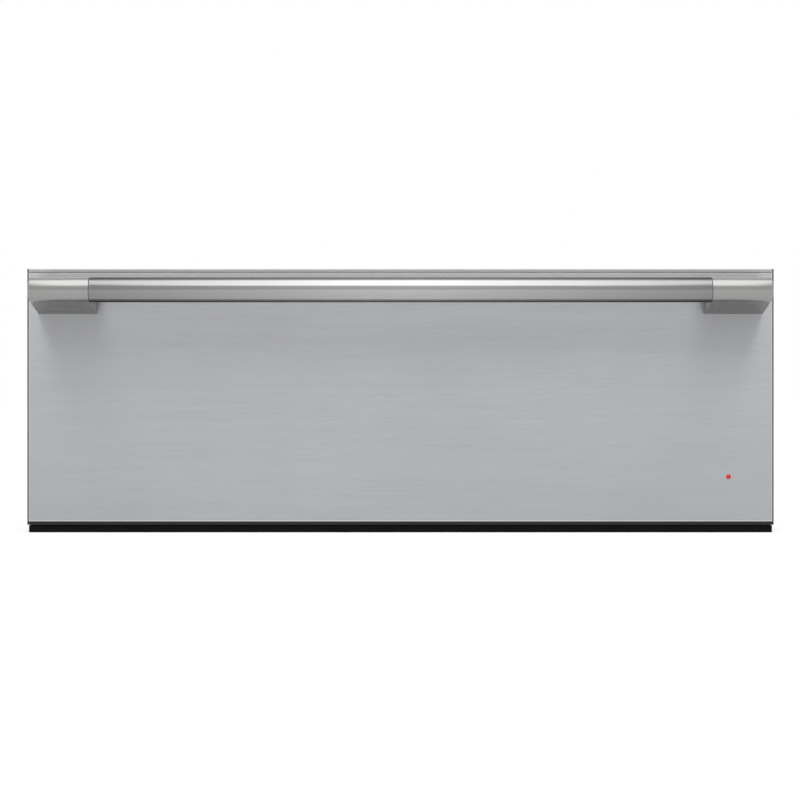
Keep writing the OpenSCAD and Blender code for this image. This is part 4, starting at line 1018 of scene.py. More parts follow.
class GeometryRecipe:
    """A Geometry Nodes tree with named inputs, built once, whose result becomes a plain mesh."""

    name = "recipe"
    inputs: tuple[tuple[str, str], ...] = ()

    def tree(self) -> bpy.types.NodeTree:
        """Returns the node tree, and builds it the first time."""
        found = bpy.data.node_groups.get(self.name)
        if found:
            return found
        tree = bpy.data.node_groups.new(self.name, "GeometryNodeTree")
        tree.interface.new_socket("Geometry", in_out="INPUT", socket_type="NodeSocketGeometry")
        for name, kind in self.inputs:
            tree.interface.new_socket(name, in_out="INPUT", socket_type=kind)
        tree.interface.new_socket("Finish", in_out="INPUT", socket_type="NodeSocketMaterial")
        tree.interface.new_socket("Geometry", in_out="OUTPUT", socket_type="NodeSocketGeometry")
        wiring = Wiring(tree)
        source = wiring.add("NodeGroupInput")
        shape = self.wire(wiring, source.outputs)
        real = wiring.out("GeometryNodeRealizeInstances", {"Geometry": shape})
        inputs = {"Geometry": real, "Material": source.outputs["Finish"]}
        wiring.add("NodeGroupOutput", {0: wiring.out("GeometryNodeSetMaterial", inputs)})
        return tree

    @staticmethod
    def frame(wiring: Wiring, width, height, corner, steps: int) -> Socket:
        """Returns a rectangle's outline with round corners."""
        inputs = {"Width": width, "Height": height}
        box = wiring.out("GeometryNodeCurvePrimitiveQuadrilateral", inputs)
        inputs = {"Curve": box, "Radius": corner, "Count": steps}
        return wiring.out("GeometryNodeFilletCurve", inputs, mode="POLY")

    @staticmethod
    def row(wiring: Wiring, count, first, step, shape) -> Socket:
        """Returns copies of a shape in a straight row."""
        inputs = {"Count": count, "Start Location": first, "Offset": step}
        line = wiring.out("GeometryNodeMeshLine", inputs)
        return wiring.out("GeometryNodeInstanceOnPoints", {"Points": line, "Instance": shape})

    def wire(self, wiring: Wiring, source) -> Socket:
        """Builds the shape's nodes and returns its geometry."""
        raise NotImplementedError

    def make(self, piece: Piece, crease: float = 40.0, **values) -> Piece:
        """Runs the tree on a piece and keeps the result as its mesh.

        Args:
            piece: The object whose mesh goes in.
            crease: Edges sharper than this angle, in degrees, stay sharp.
            values: The tree's inputs, with spaces written as underscores.

        Returns:
            The same object with its new mesh.
        """
        modifier = piece.modifiers.new(self.name, "NODES")
        modifier.node_group = self.tree()
        for item in self.tree().interface.items_tree:
            key = item.name.replace(" ", "_")
            if item.in_out == "INPUT" and key in values:
                modifier[item.identifier] = values[key]
        settled(piece)
        piece.data.materials.clear()
        piece.data.shade_smooth()
        piece.data.set_sharp_from_angle(angle=math.radians(crease))
        return piece


class Perforation(GeometryRecipe):
    """A row of round-ended slots cut down through a sheet."""

    name = "perforation"
    inputs = sockets(WHOLE, "Count") + sockets(VECTOR, "First", "Pitch")
    inputs += sockets(FLOAT, "Slot Length", "Slot Width", "Depth")

    def wire(self, wiring: Wiring, source) -> Socket:
        """Runs a rounded outline down at each place of a line, and takes all of them out of the sheet."""
        radius = wiring.math("MULTIPLY", source["Slot Width"], 0.49)
        outline = self.frame(wiring, source["Slot Length"], source["Slot Width"], radius, 6)
        face = wiring.out("GeometryNodeFillCurve", {"Curve": outline}, mode="NGONS")
        down = wiring.out("ShaderNodeCombineXYZ", {"Z": source["Depth"]})
        inputs = {"Mesh": face, "Offset": down, "Individual": False}
        solid = wiring.out("GeometryNodeExtrudeMesh", inputs, "Mesh")
        closed = wiring.join(solid, wiring.out("GeometryNodeFlipFaces", {"Mesh": face}))
        cutter = wiring.out("GeometryNodeMergeByDistance", {"Geometry": closed, "Distance": 0.00001})
        row = self.row(wiring, source["Count"], source["First"], source["Pitch"], cutter)
        cut = wiring.add("GeometryNodeMeshBoolean", {"Mesh 1": source["Geometry"]}, operation="DIFFERENCE")
        wiring.set(cut.inputs["Mesh 2"], wiring.out("GeometryNodeRealizeInstances", {"Geometry": row}))
        return cut.outputs["Mesh"]


class Scatter(GeometryRecipe):
    """Copies of one form on the points of a mesh, all turned the same way."""

    name = "scatter"
    inputs = sockets("NodeSocketObject", "Form") + sockets("NodeSocketRotation", "Turn")

    def wire(self, wiring: Wiring, source) -> Socket:
        """Puts the form on each point."""
        form = wiring.out("GeometryNodeObjectInfo", {"Object": source["Form"]}, "Geometry")
        inputs = {"Points": source["Geometry"], "Instance": form, "Rotation": source["Turn"]}
        return wiring.out("GeometryNodeInstanceOnPoints", inputs)


class WireRack(GeometryRecipe):
    """A flat rack: a wire frame with round corners, cross wires on top of it and four feet."""

    name = "wire_rack"
    inputs = sockets(VECTOR, "Centre") + sockets(WHOLE, "Wires")
    inputs += sockets(FLOAT, "Width", "Length", "Corner", "Frame Radius", "Wire Radius", "Pitch", "Lift")
    inputs += sockets(FLOAT, "Foot Drop", "Foot Spread")

    def wire(self, wiring: Wiring, source) -> Socket:
        """Sweeps the frame, lays the cross wires and hangs the feet."""
        loop = self.frame(wiring, source["Width"], source["Length"], source["Corner"], 12)
        section = self.circle(wiring, source["Frame Radius"], 16)
        ring = wiring.out("GeometryNodeCurveToMesh", {"Curve": loop, "Profile Curve": section})
        rack = wiring.join(ring, self.wires(wiring, source), self.feet(wiring, source, section))
        return wiring.out("GeometryNodeTransform", {"Geometry": rack, "Translation": source["Centre"]})

    def circle(self, wiring: Wiring, radius, steps: int) -> Socket:
        """Returns a wire's round section."""
        inputs = {"Resolution": steps, "Radius": radius}
        return wiring.out("GeometryNodeCurvePrimitiveCircle", inputs, mode="RADIUS")

    def rod(self, wiring: Wiring, start, stop, section) -> Socket:
        """Returns a closed rod between two places."""
        line = wiring.out("GeometryNodeCurvePrimitiveLine", {"Start": start, "End": stop})
        inputs = {"Curve": line, "Profile Curve": section, "Fill Caps": True}
        return wiring.out("GeometryNodeCurveToMesh", inputs)

    def wires(self, wiring: Wiring, source) -> Socket:
        """Returns the cross wires, laid along the rack's length on top of its frame."""
        half = wiring.math("MULTIPLY", source["Length"], 0.5)
        start = wiring.out("ShaderNodeCombineXYZ", {"Y": wiring.math("MULTIPLY", half, -1.0)})
        stop = wiring.out("ShaderNodeCombineXYZ", {"Y": half})
        wire = self.rod(wiring, start, stop, self.circle(wiring, source["Wire Radius"], 12))
        gaps = wiring.math("SUBTRACT", source["Wires"], 1.0)
        first_x = wiring.math("MULTIPLY", wiring.math("MULTIPLY", gaps, source["Pitch"]), -0.5)
        first = wiring.out("ShaderNodeCombineXYZ", {"X": first_x, "Z": source["Lift"]})
        step = wiring.out("ShaderNodeCombineXYZ", {"X": source["Pitch"]})
        return self.row(wiring, source["Wires"], first, step, wire)

    def feet(self, wiring: Wiring, source, section) -> Socket:
        """Returns four feet under the frame's long sides."""
        drop = wiring.math("MULTIPLY", source["Foot Drop"], -1.0)
        low = wiring.out("ShaderNodeCombineXYZ", {"Z": drop})
        leg = self.rod(wiring, low, ORIGIN, section)
        inputs = {"Segments": 16, "Rings": 10, "Radius": source["Frame Radius"]}
        ball = wiring.out("GeometryNodeMeshUVSphere", inputs, "Mesh")
        toe = wiring.out("GeometryNodeTransform", {"Geometry": ball, "Translation": low})
        inputs = {"Size X": source["Width"], "Size Y": source["Foot Spread"]}
        places = wiring.out("GeometryNodeMeshGrid", {**inputs, "Vertices X": 2, "Vertices Y": 2}, "Mesh")
        inputs = {"Points": places, "Instance": wiring.join(leg, toe)}
        return wiring.out("GeometryNodeInstanceOnPoints", inputs)


PERFORATION = Perforation()
SCATTER = Scatter()
WIRE_RACK = WireRack()


def points_piece(name: str, places: list[Vector]) -> Piece:
    """Returns a piece whose mesh is only points, for a recipe to work on."""
    mesh = bpy.data.meshes.new(name)
    mesh.from_pydata([tuple(place) for place in places], [], [])
    return placed(name, mesh)


# ---------------------------------------------------------------------------------------------- assemblies


def solids_of(node: str) -> list[tuple[Vector, Vector]]:
    """Returns the box of each separate solid in a node of the frame."""
    form = bmesh.new()
    form.from_mesh(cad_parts[node].data)
    bmesh.ops.remove_doubles(form, verts=form.verts, dist=MERGE)
    left = set(form.verts)
    boxes = []
    while left:
        group, queue = set(), [left.pop()]
        while queue:
            vertex = queue.pop()
            group.add(vertex)
            for edge in vertex.link_edges:
                other = edge.other_vert(vertex)
                if other in left:
                    left.discard(other)
                    queue.append(other)
        boxes.append(box_of(vertex.co for vertex in group))
    form.free()
    return sorted(boxes, key=lambda box: tuple(round(part, 4) for part in box[0]))


@dataclass
class Assembly:
    """A sub-assembly: it mounts each piece on its body in its finish.

    Attributes:
        pieces: Names of the pieces that it made.
    """

    pieces: list[str] = field(default_factory=list, init=False)

    def mount(self, piece: Piece, body: str, finish: Finish, *nodes: str) -> Piece:
        """Finishes one piece.

        Args:
            piece: The piece.
            body: The body that it rides on.
            finish: Its finish.
            nodes: Solids of the frame that it stands for.

        Returns:
            The piece.
        """
        finish.dress(piece)
        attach(piece, body)
        if nodes:
            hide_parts(*nodes)
        self.pieces.append(piece.name)
        return piece

    def carry(self, finish: Finish, *nodes: str) -> None:
        """Gives solids of the frame, whose shape stays, their finish."""
        for node in nodes:
            finish.dress(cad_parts[node])
            self.pieces.append(node)

    def refine(self, node: str, body: str, finish: Finish, edge: float = 0.0) -> None:
        """Puts a finer copy of a solid in its place."""
        self.mount(refined(node, f"{node}_fine", edge), body, finish)

    def build(self) -> None:
        """Builds and dresses every piece of the sub-assembly."""
        raise NotImplementedError


@dataclass
class DrawerFront(Assembly):
    """The stainless front: tray, cap, dark strip, inner panel with its vent, wool and seal.

    Attributes:
        sheet: Thickness of the tray's sheet.
        side_fold: Radius of the folds at the left and the right.
        edge_fold: Radius of the folds at the lower and the upper edge.
        cap_fold: Radius of the cap's upper fold.
        vent_count: Number of slots along the cap.
        vent_pitch: Distance between two of them.
        vent_length: Length of a slot.
        vent_width: Width of a slot.
        panel_sheet: Thickness of the inner panel.
        front_air: Free depth before the inner panel.
        seal_width: Width of the seal's profile.
    """

    sheet: float = 1.2 * MM
    side_fold: float = 2.0 * MM
    edge_fold: float = 0.8 * MM
    cap_fold: float = 0.6 * MM
    vent_count: int = 16
    vent_pitch: float = 36 * MM
    vent_length: float = 24 * MM
    vent_width: float = 3 * MM
    panel_sheet: float = 1 * MM
    front_air: float = 8 * MM
    seal_width: float = 8.5 * MM

    def plate(self, node: str) -> PlateShell:
        """Returns the folded sheet that fills a node's box."""
        low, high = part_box(node)
        return PlateShell(high.x, low.z, high.z, low.y, high.y)

    def vented(self, piece: Piece, low: float, high: float) -> Piece:
        """Cuts the row of slots down through a sheet between two heights, and returns it."""
        slot_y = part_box("front_gasket")[0].y - self.panel_sheet - self.front_air / 2
        first = Vector((-(self.vent_count - 1) * self.vent_pitch / 2, slot_y, low))
        return PERFORATION.make(
            piece,
            Count=self.vent_count,
            First=first,
            Pitch=(self.vent_pitch, 0.0, 0.0),
            Slot_Length=self.vent_length,
            Slot_Width=self.vent_width,
            Depth=high - low,
        )

    def skin(self) -> Piece:
        """Returns the stainless tray with its vent slots."""
        plate = self.plate("front_skin")
        folds = (self.edge_fold, self.edge_fold)
        tray = plate.shell("front_skin_sheet", self.side_fold, folds, self.sheet)
        return self.vented(tray, plate.z1 - 3 * self.sheet, plate.z1 + self.sheet)

    def cap(self) -> Piece:
        """Returns the cap folded over the top edge, with its slots."""
        plate = self.plate("front_top_trim")
        strip = plate.block("front_top_cap", self.side_fold, (0.2 * MM, self.cap_fold))
        return self.vented(strip, plate.z0 - self.sheet, plate.z1 + self.sheet)

    def seal(self) -> Piece:
        """Returns the rubber seal: a hollow-looking lip run round the mouth."""
        low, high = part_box("front_gasket")
        depth = high.y - low.y
        profile = [(0.0, 0.0), (0.0, 0.35), (0.08, 0.62), (0.2, 0.82), (0.38, 0.96), (0.5, 1.0)]
        profile += [(1 - a, b) for a, b in profile[-2::-1]]
        centre = middle(low, high, 1)
        half_x, half_z = (high.x - low.x) / 2, (high.z - low.z) / 2
        form = bmesh.new()
        loops = []
        for across, out in profile:
            reach = self.seal_width * across
            corner = max(self.seal_width - reach, 0.4 * MM) + 2 * MM
            outline = round_rect(half_x - reach, half_z - reach, corner)
            loops.append([centre + Vector((a, low.y + depth * out, b)) for a, b in outline])
        loops.append(loops[0])
        loft(form, loops, capped=False)
        return piece_from("door_seal", form, crease=50.0)

    def build(self) -> None:
        """Builds the front."""
        self.mount(self.skin(), "drawer", FRONT_STEEL, "front_skin")
        self.mount(self.cap(), "drawer", TRIM_STEEL, "front_top_trim")
        plate = self.plate("front_bottom_trim")
        strip = plate.block("front_bottom_strip", self.side_fold, (0.8 * MM, 0.2 * MM))
        self.mount(strip, "drawer", DARK_STRIP, "front_bottom_trim")
        self.mount(self.seal(), "drawer", SEAL_RUBBER, "front_gasket")
        self.refine("front_inner_panel", "drawer", INNER_STEEL, 0.25 * MM)
        self.refine("vent_slider", "vent_plate", PLATE_STEEL, 0.2 * MM)
        self.carry(WOOL, "front_insulation")


@dataclass
class Handle(Assembly):
    """The tube across the front and its two brackets, whose sleeves continue the tube.

    Attributes:
        wall: Wall of the tube.
        drop: How far the bracket's foot reaches below the tube's centre, on the front.
        edge: Rounding of the tube's ends.
        end_round: Rounding of the sleeve's outer end.
        spigot: Length of the plug inside the tube.
        spigot_gap: Gap round the plug.
    """

    wall: float = 1.5 * MM
    drop: float = 21.8 * MM
    edge: float = 0.35 * MM
    end_round: float = 1.3 * MM
    spigot: float = 20 * MM
    spigot_gap: float = 0.25 * MM

    def tube(self) -> Piece:
        """Returns the tube."""
        low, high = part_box("handle_tube")
        centre = middle(low, high, 0)
        radius, half, e = (high.z - low.z) / 2, high.x, self.edge
        turns = (0.0, 0.52, 1.05, 1.57)
        right = [(half - e + e * math.sin(t), radius - e + e * math.cos(t)) for t in turns]
        left = [(-x, r) for x, r in reversed(right)]
        inner = [(half, radius - self.wall), (-half, radius - self.wall)]
        form = bmesh.new()
        lathe(form, centre, "x", left + right + inner, 96)
        return piece_from("handle_bar", form)

    def bracket(self, word: str, side: int) -> Piece:
        """Returns one bracket: the sleeve and its foot in one run, and the plug in the tube.

        Args:
            word: "left" or "right".
            side: -1 or 1.

        Returns:
            The bracket.
        """
        tube_low, tube_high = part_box("handle_tube")
        low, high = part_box(f"handle_bracket_{word}")
        centre = ((tube_low.y + tube_high.y) / 2, (tube_low.z + tube_high.z) / 2)
        radius = (tube_high.z - tube_low.z) / 2
        face_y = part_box("front_skin")[0].y
        reach = face_y - centre[0]
        slope = math.atan2(-self.drop, reach) - math.acos(radius / math.hypot(reach, self.drop))
        outline = arc(centre, radius, 90, 360 + math.degrees(slope), 40)
        outline += [(face_y, centre[1] - self.drop), (face_y, centre[1] + radius)]
        outer_x = max(abs(low.x), abs(high.x))
        inner_x = min(abs(low.x), abs(high.x)) + self.spigot
        form = bmesh.new()
        radii = (self.edge, self.end_round)
        loft(form, rounded_run(outline, inner_x, outer_x, radii, lambda x, y, z: (side * x, y, z)))
        plug_radius = radius - self.wall - self.spigot_gap
        start, stop = side * (inner_x - self.spigot), side * (inner_x + self.edge)
        profile = [(start, 0.0), (start, plug_radius), (stop, plug_radius), (stop, 0.0)]
        lathe(form, Vector((0.0, *centre)), "x", profile, 48)
        return piece_from(f"handle_bracket_{word}_cast", form, crease=30.0)

    def build(self) -> None:
        """Builds the handle."""
        self.mount(self.tube(), "drawer", HANDLE_STEEL, "handle_tube")
        for word, side in SIDES:
            self.mount(self.bracket(word, side), "drawer", SHADED_BRACKET_STEEL, f"handle_bracket_{word}")


@dataclass
class Indicator(Assembly):
    """The red light pipe through the front and the lamp behind it.

    Attributes:
        proud: How far the lens stands out.
        lens_radius: Radius of the lens.
        pipe_radius: Radius of the pipe.
    """

    proud: float = 0.8 * MM
    lens_radius: float = 2.5 * MM
    pipe_radius: float = 2.0 * MM

    def lens(self) -> Piece:
        """Returns the domed lens and its pipe."""
        low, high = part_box("indicator_lens")
        centre = middle(low, high, 1)
        face_y = low.y + self.proud
        radius = (self.lens_radius**2 + self.proud**2) / (2 * self.proud)
        reach = math.asin(self.lens_radius / radius)
        profile = []
        for k in range(9):
            turn = reach * k / 8
            profile.append((low.y + radius * (1 - math.cos(turn)), radius * math.sin(turn)))
        profile += [(face_y, self.pipe_radius), (high.y, self.pipe_radius), (high.y, 0.0)]
        form = bmesh.new()
        lathe(form, centre, "y", profile, 48)
        return piece_from("indicator_light_pipe", form)

    def build(self) -> None:
        """Builds the indicator."""
        self.mount(self.lens(), "drawer", RED_LENS, "indicator_lens")
        self.refine("indicator_lamp", "chassis", LAMP_PLASTIC)


@dataclass
class Pan(Assembly):
    """The pressed pan, the brackets that hang it, and the wire rack in it.

    Attributes:
        sheet: Thickness of the pan.
        rim: Width of its rim.
        corner: Radius of its upright corners.
        floor_fold: Radius between its floor and its walls.
        rim_fold: Radius between its walls and the rim.
        wire: Radius of the rack's frame.
        rod: Radius of its cross wires.
        rod_pitch: Distance between two cross wires.
        rack_corner: Radius of the frame's corners.
    """

    sheet: float = 1 * MM
    rim: float = 9 * MM
    corner: float = 22 * MM
    floor_fold: float = 8 * MM
    rim_fold: float = 1.6 * MM
    wire: float = 2.5 * MM
    rod: float = 1.5 * MM
    rod_pitch: float = 30 * MM
    rack_corner: float = 25 * MM

    def sections(self, z0: float, z1: float) -> list[Point]:
        """Returns the pan's section from the middle of its underside to the middle of its floor.

        Args:
            z0: Height of the underside.
            z1: Height of the rim's top.

        Returns:
            Pairs of the distance inside the outer wall and the height.
        """
        sheet, rim, fold, under = self.sheet, self.rim, self.floor_fold, z1 - self.sheet
        turns = [math.radians(90 * k / 6) for k in range(7)]
        section = [(fold * (1 - math.sin(t)), z0 + fold * (1 - math.cos(t))) for t in turns]
        bend = self.rim_fold
        section += [(-bend * (1 - math.cos(t)), under - bend * (1 - math.sin(t))) for t in turns]
        section += [(-rim + 0.3 * MM, under), (-rim, under + sheet / 2), (-rim + 0.3 * MM, z1)]
        bend = self.rim_fold + sheet
        section += [(sheet - bend * (1 - math.sin(t)), z1 - bend * (1 - math.cos(t))) for t in turns]
        fold = self.floor_fold - sheet
        floor = z0 + sheet
        section += [(sheet + fold * (1 - math.cos(t)), floor + fold * (1 - math.sin(t))) for t in turns]
        return section

    def pan(self) -> Piece:
        """Returns the pressed pan."""
        low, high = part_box("drawer_pan")
        middle_y = (low.y + high.y) / 2
        wall_x, wall_y = high.x - self.rim, (high.y - low.y) / 2 - self.rim
        loops = []
        for inside, z in self.sections(low.z, high.z):
            outline = round_rect(wall_x - inside, wall_y - inside, max(self.corner - inside, 4 * MM), 12)
            loops.append([Vector((x, middle_y + y, z)) for x, y in outline])
        form = bmesh.new()
        loft(form, loops)
        return piece_from("pressed_pan", form, crease=40.0)

    def rack(self) -> Piece:
        """Returns the wire rack."""
        low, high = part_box("rack")
        width, length = high.x - low.x - 2 * self.wire, high.y - low.y - 2 * self.wire
        level = high.z - 1.5 * self.rod - self.wire
        rack = points_piece("wire_rack", [Vector((0.0, 0.0, 0.0))])
        return WIRE_RACK.make(
            rack,
            Centre=Vector(((low.x + high.x) / 2, (low.y + high.y) / 2, level)),
            Width=width,
            Length=length,
            Corner=self.rack_corner,
            Frame_Radius=self.wire,
            Wire_Radius=self.rod,
            Wires=2 * int((width / 2 - self.rack_corner) / self.rod_pitch) + 1,
            Pitch=self.rod_pitch,
            Lift=self.wire + self.rod / 2,
            Foot_Drop=level - low.z - self.wire,
            Foot_Spread=length / 2 - self.rack_corner,
        )

    def build(self) -> None:
        """Builds the pan, its carriers and the rack."""
        self.mount(self.pan(), "drawer", PAN_STEEL, "drawer_pan")
        self.mount(self.rack(), "rack", RACK_CHROME, "rack")
        for word, _ in SIDES:
            self.refine(f"pan_carrier_{word}", "drawer", PLATE_STEEL, 0.25 * MM)


@dataclass
class Slides(Assembly):
    """The two full-extension ball slides: three members and two ball cages on each side."""

    edge: float = 0.2 * MM

    def build(self) -> None:
        """Builds both slides."""
        for word, _ in SIDES:
            self.refine(f"slide_outer_{word}", "chassis", SLIDE_STEEL, self.edge)
            self.refine(f"slide_mid_{word}", f"slide_mid_{word}", SLIDE_STEEL, self.edge)
            self.refine(f"slide_inner_{word}", "drawer", SLIDE_STEEL, self.edge)
            for row in ("outer", "inner"):
                self.refine(f"ball_cage_{row}_{word}", f"cage_{row}_{word}", CAGE_BRASS)


@dataclass
class Screws(Assembly):
    """Every screw: a domed head with a hexagon socket on a plain shank, scattered on the solids' places.

    Attributes:
        head: The head's radius, to the shank's.
        rise: The head's height, to the shank's radius.
        socket: The socket's radius, to the shank's.
    """

    head: float = 1.8
    rise: float = 1.2
    socket: float = 0.95

    def form(self, radius: float, grip: float) -> Piece:
        """Returns one screw along Z, its head upwards on z = 0.

        Args:
            radius: Radius of the shank.
            grip: Length of the shank.

        Returns:
            The screw, which is deleted after the scattering.
        """
        steps = 24
        head, rise = self.head * radius, self.rise * radius
        profile = [(-grip, 0.02 * radius), (-grip, 0.6 * radius), (-grip + 0.5 * radius, radius)]
        profile += [(0.0, radius), (0.0, 0.94 * head), (0.08 * rise, head), (0.45 * rise, head)]
        profile += [(0.8 * rise, 0.88 * head), (0.97 * rise, 0.7 * head), (rise, 0.62 * head)]
        loops = []
        for z, r in profile:
            turns = [math.tau * k / steps for k in range(steps)]
            loops.append([Vector((r * math.cos(t), r * math.sin(t), z)) for t in turns])
        for z, share in ((rise, 1.0), (0.45 * rise, 0.97)):
            loop = []
            for k in range(steps):
                turn = math.tau * k / steps
                flat = (turn % (math.tau / 6)) - math.tau / 12
                r = share * self.socket * radius * math.cos(math.tau / 12) / math.cos(flat)
                loop.append(Vector((r * math.cos(turn), r * math.sin(turn), z)))
            loops.append(loop)
        mesh = bmesh.new()
        loft(mesh, loops)
        return piece_from("screw_form", mesh, crease=30.0)

    def group(self, name: str, boxes: list[tuple[Vector, Vector]], axis: int) -> Piece:
        """Returns a group of like screws whose heads point along +Y or +Z.

        Args:
            name: Name of the piece.
            boxes: The boxes of the solids that the screws stand for.
            axis: 1 for Y, 2 for Z.

        Returns:
            The group, as one piece.
        """
        low, high = boxes[0]
        radius = (high.x - low.x) / 2 / self.head
        rise = self.rise * radius
        seats = []
        for low, high in boxes:
            seat = (low + high) / 2
            seat[axis] = high[axis] - rise
            seats.append(seat)
        form = self.form(radius, boxes[0][1][axis] - boxes[0][0][axis] - rise)
        turn = (-math.pi / 2, 0.0, 0.0) if axis == 1 else (0.0, 0.0, 0.0)
        group = SCATTER.make(points_piece(name, seats), 30.0, Form=form, Turn=turn)
        bpy.data.objects.remove(form)
        return group

    def build(self) -> None:
        """Builds the handle's and carriers' screws and the casing's."""
        boxes = solids_of("drawer_screws")
        widest = max(high.x - low.x for low, high in boxes)
        large = [box for box in boxes if box[1].x - box[0].x > 0.95 * widest]
        small = [box for box in boxes if box not in large]
        self.mount(self.group("handle_screws", large, 1), "drawer", SCREW_STEEL, "drawer_screws")
        self.mount(self.group("carrier_screws", small, 1), "drawer", SCREW_STEEL)
        boxes = solids_of("casing_screws")
        rear = [box for box in boxes if box[1].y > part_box("casing_rear")[1].y + MM]
        top = [box for box in boxes if box not in rear]
        self.mount(self.group("rear_panel_screws", rear, 1), "chassis", SCREW_STEEL, "casing_screws")
        self.mount(self.group("top_panel_screws", top, 2), "chassis", SCREW_STEEL)


@dataclass
class Chassis(Assembly):
    """The casing, the flange frame, the hot box's liner and wool, the runners and the black strip."""

    edge: float = 0.25 * MM

    def build(self) -> None:
        """Dresses the carried solids and refines those whose edges show."""
        self.refine("base_trim", "chassis", BLACK_STRIP, self.edge)
        self.refine("base_runners", "chassis", RUNNER_STEEL, 2 * self.edge)
        self.refine("front_frame", "chassis", INNER_STEEL, self.edge)
        self.carry(PLATE_STEEL, "casing_base", "casing_left", "casing_right", "casing_top", "casing_rear")
        self.carry(PLATE_STEEL, "rear_partition")
        self.carry(LINER_STEEL, "liner_left", "liner_right", "liner_top", "liner_floor", "liner_rear")
        self.carry(WOOL, "insulation_wrap", "insulation_base", "insulation_rear")


@dataclass
class Heating(Assembly):
    """The sheathed element on its saddles, the temperature probe and the limit thermostat."""

    def build(self) -> None:
        """Refines the heating pieces."""
        self.refine("heating_element", "chassis", ELEMENT_SHEATH)
        for node, edge in (("element_clips", 0.2), ("temperature_probe", 0.0), ("limit_thermostat", 0.2)):
            self.refine(node, "chassis", PROBE_STEEL, edge * MM)


def board_finish(name: str, start: float) -> CircuitBoard:
    """Returns the finish of a board whose front face is at start."""
    green = (0.012, 0.075, 0.03)
    return CircuitBoard(name, green, 0.35, "circuit_board", board_y0=start, board_y=start + BOARD)


@dataclass
class Electrics(Assembly):
    """The power board in the rear bay, the looms and the cord's gland.

    Attributes:
        post: Length of the posts that hold the board.
    """

    post: float = 8 * MM

    def build(self) -> None:
        """Refines the electric pieces."""
        first = min(box[0].y for box in solids_of("power_board"))
        start = max(first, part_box("rear_partition")[1].y) + self.post
        self.carry(board_finish("power_board_lacquer", start), "power_board")
        self.refine("cord_gland", "chassis", GLAND_PLASTIC, 0.5 * MM)
        self.refine("wiring_loom", "chassis", LOOM_SLEEVE)


class Mark(Enum):
    """What a key's mark shows."""

    POWER = "power"
    UP = "up"
    DOWN = "down"
    TIMER = "timer"


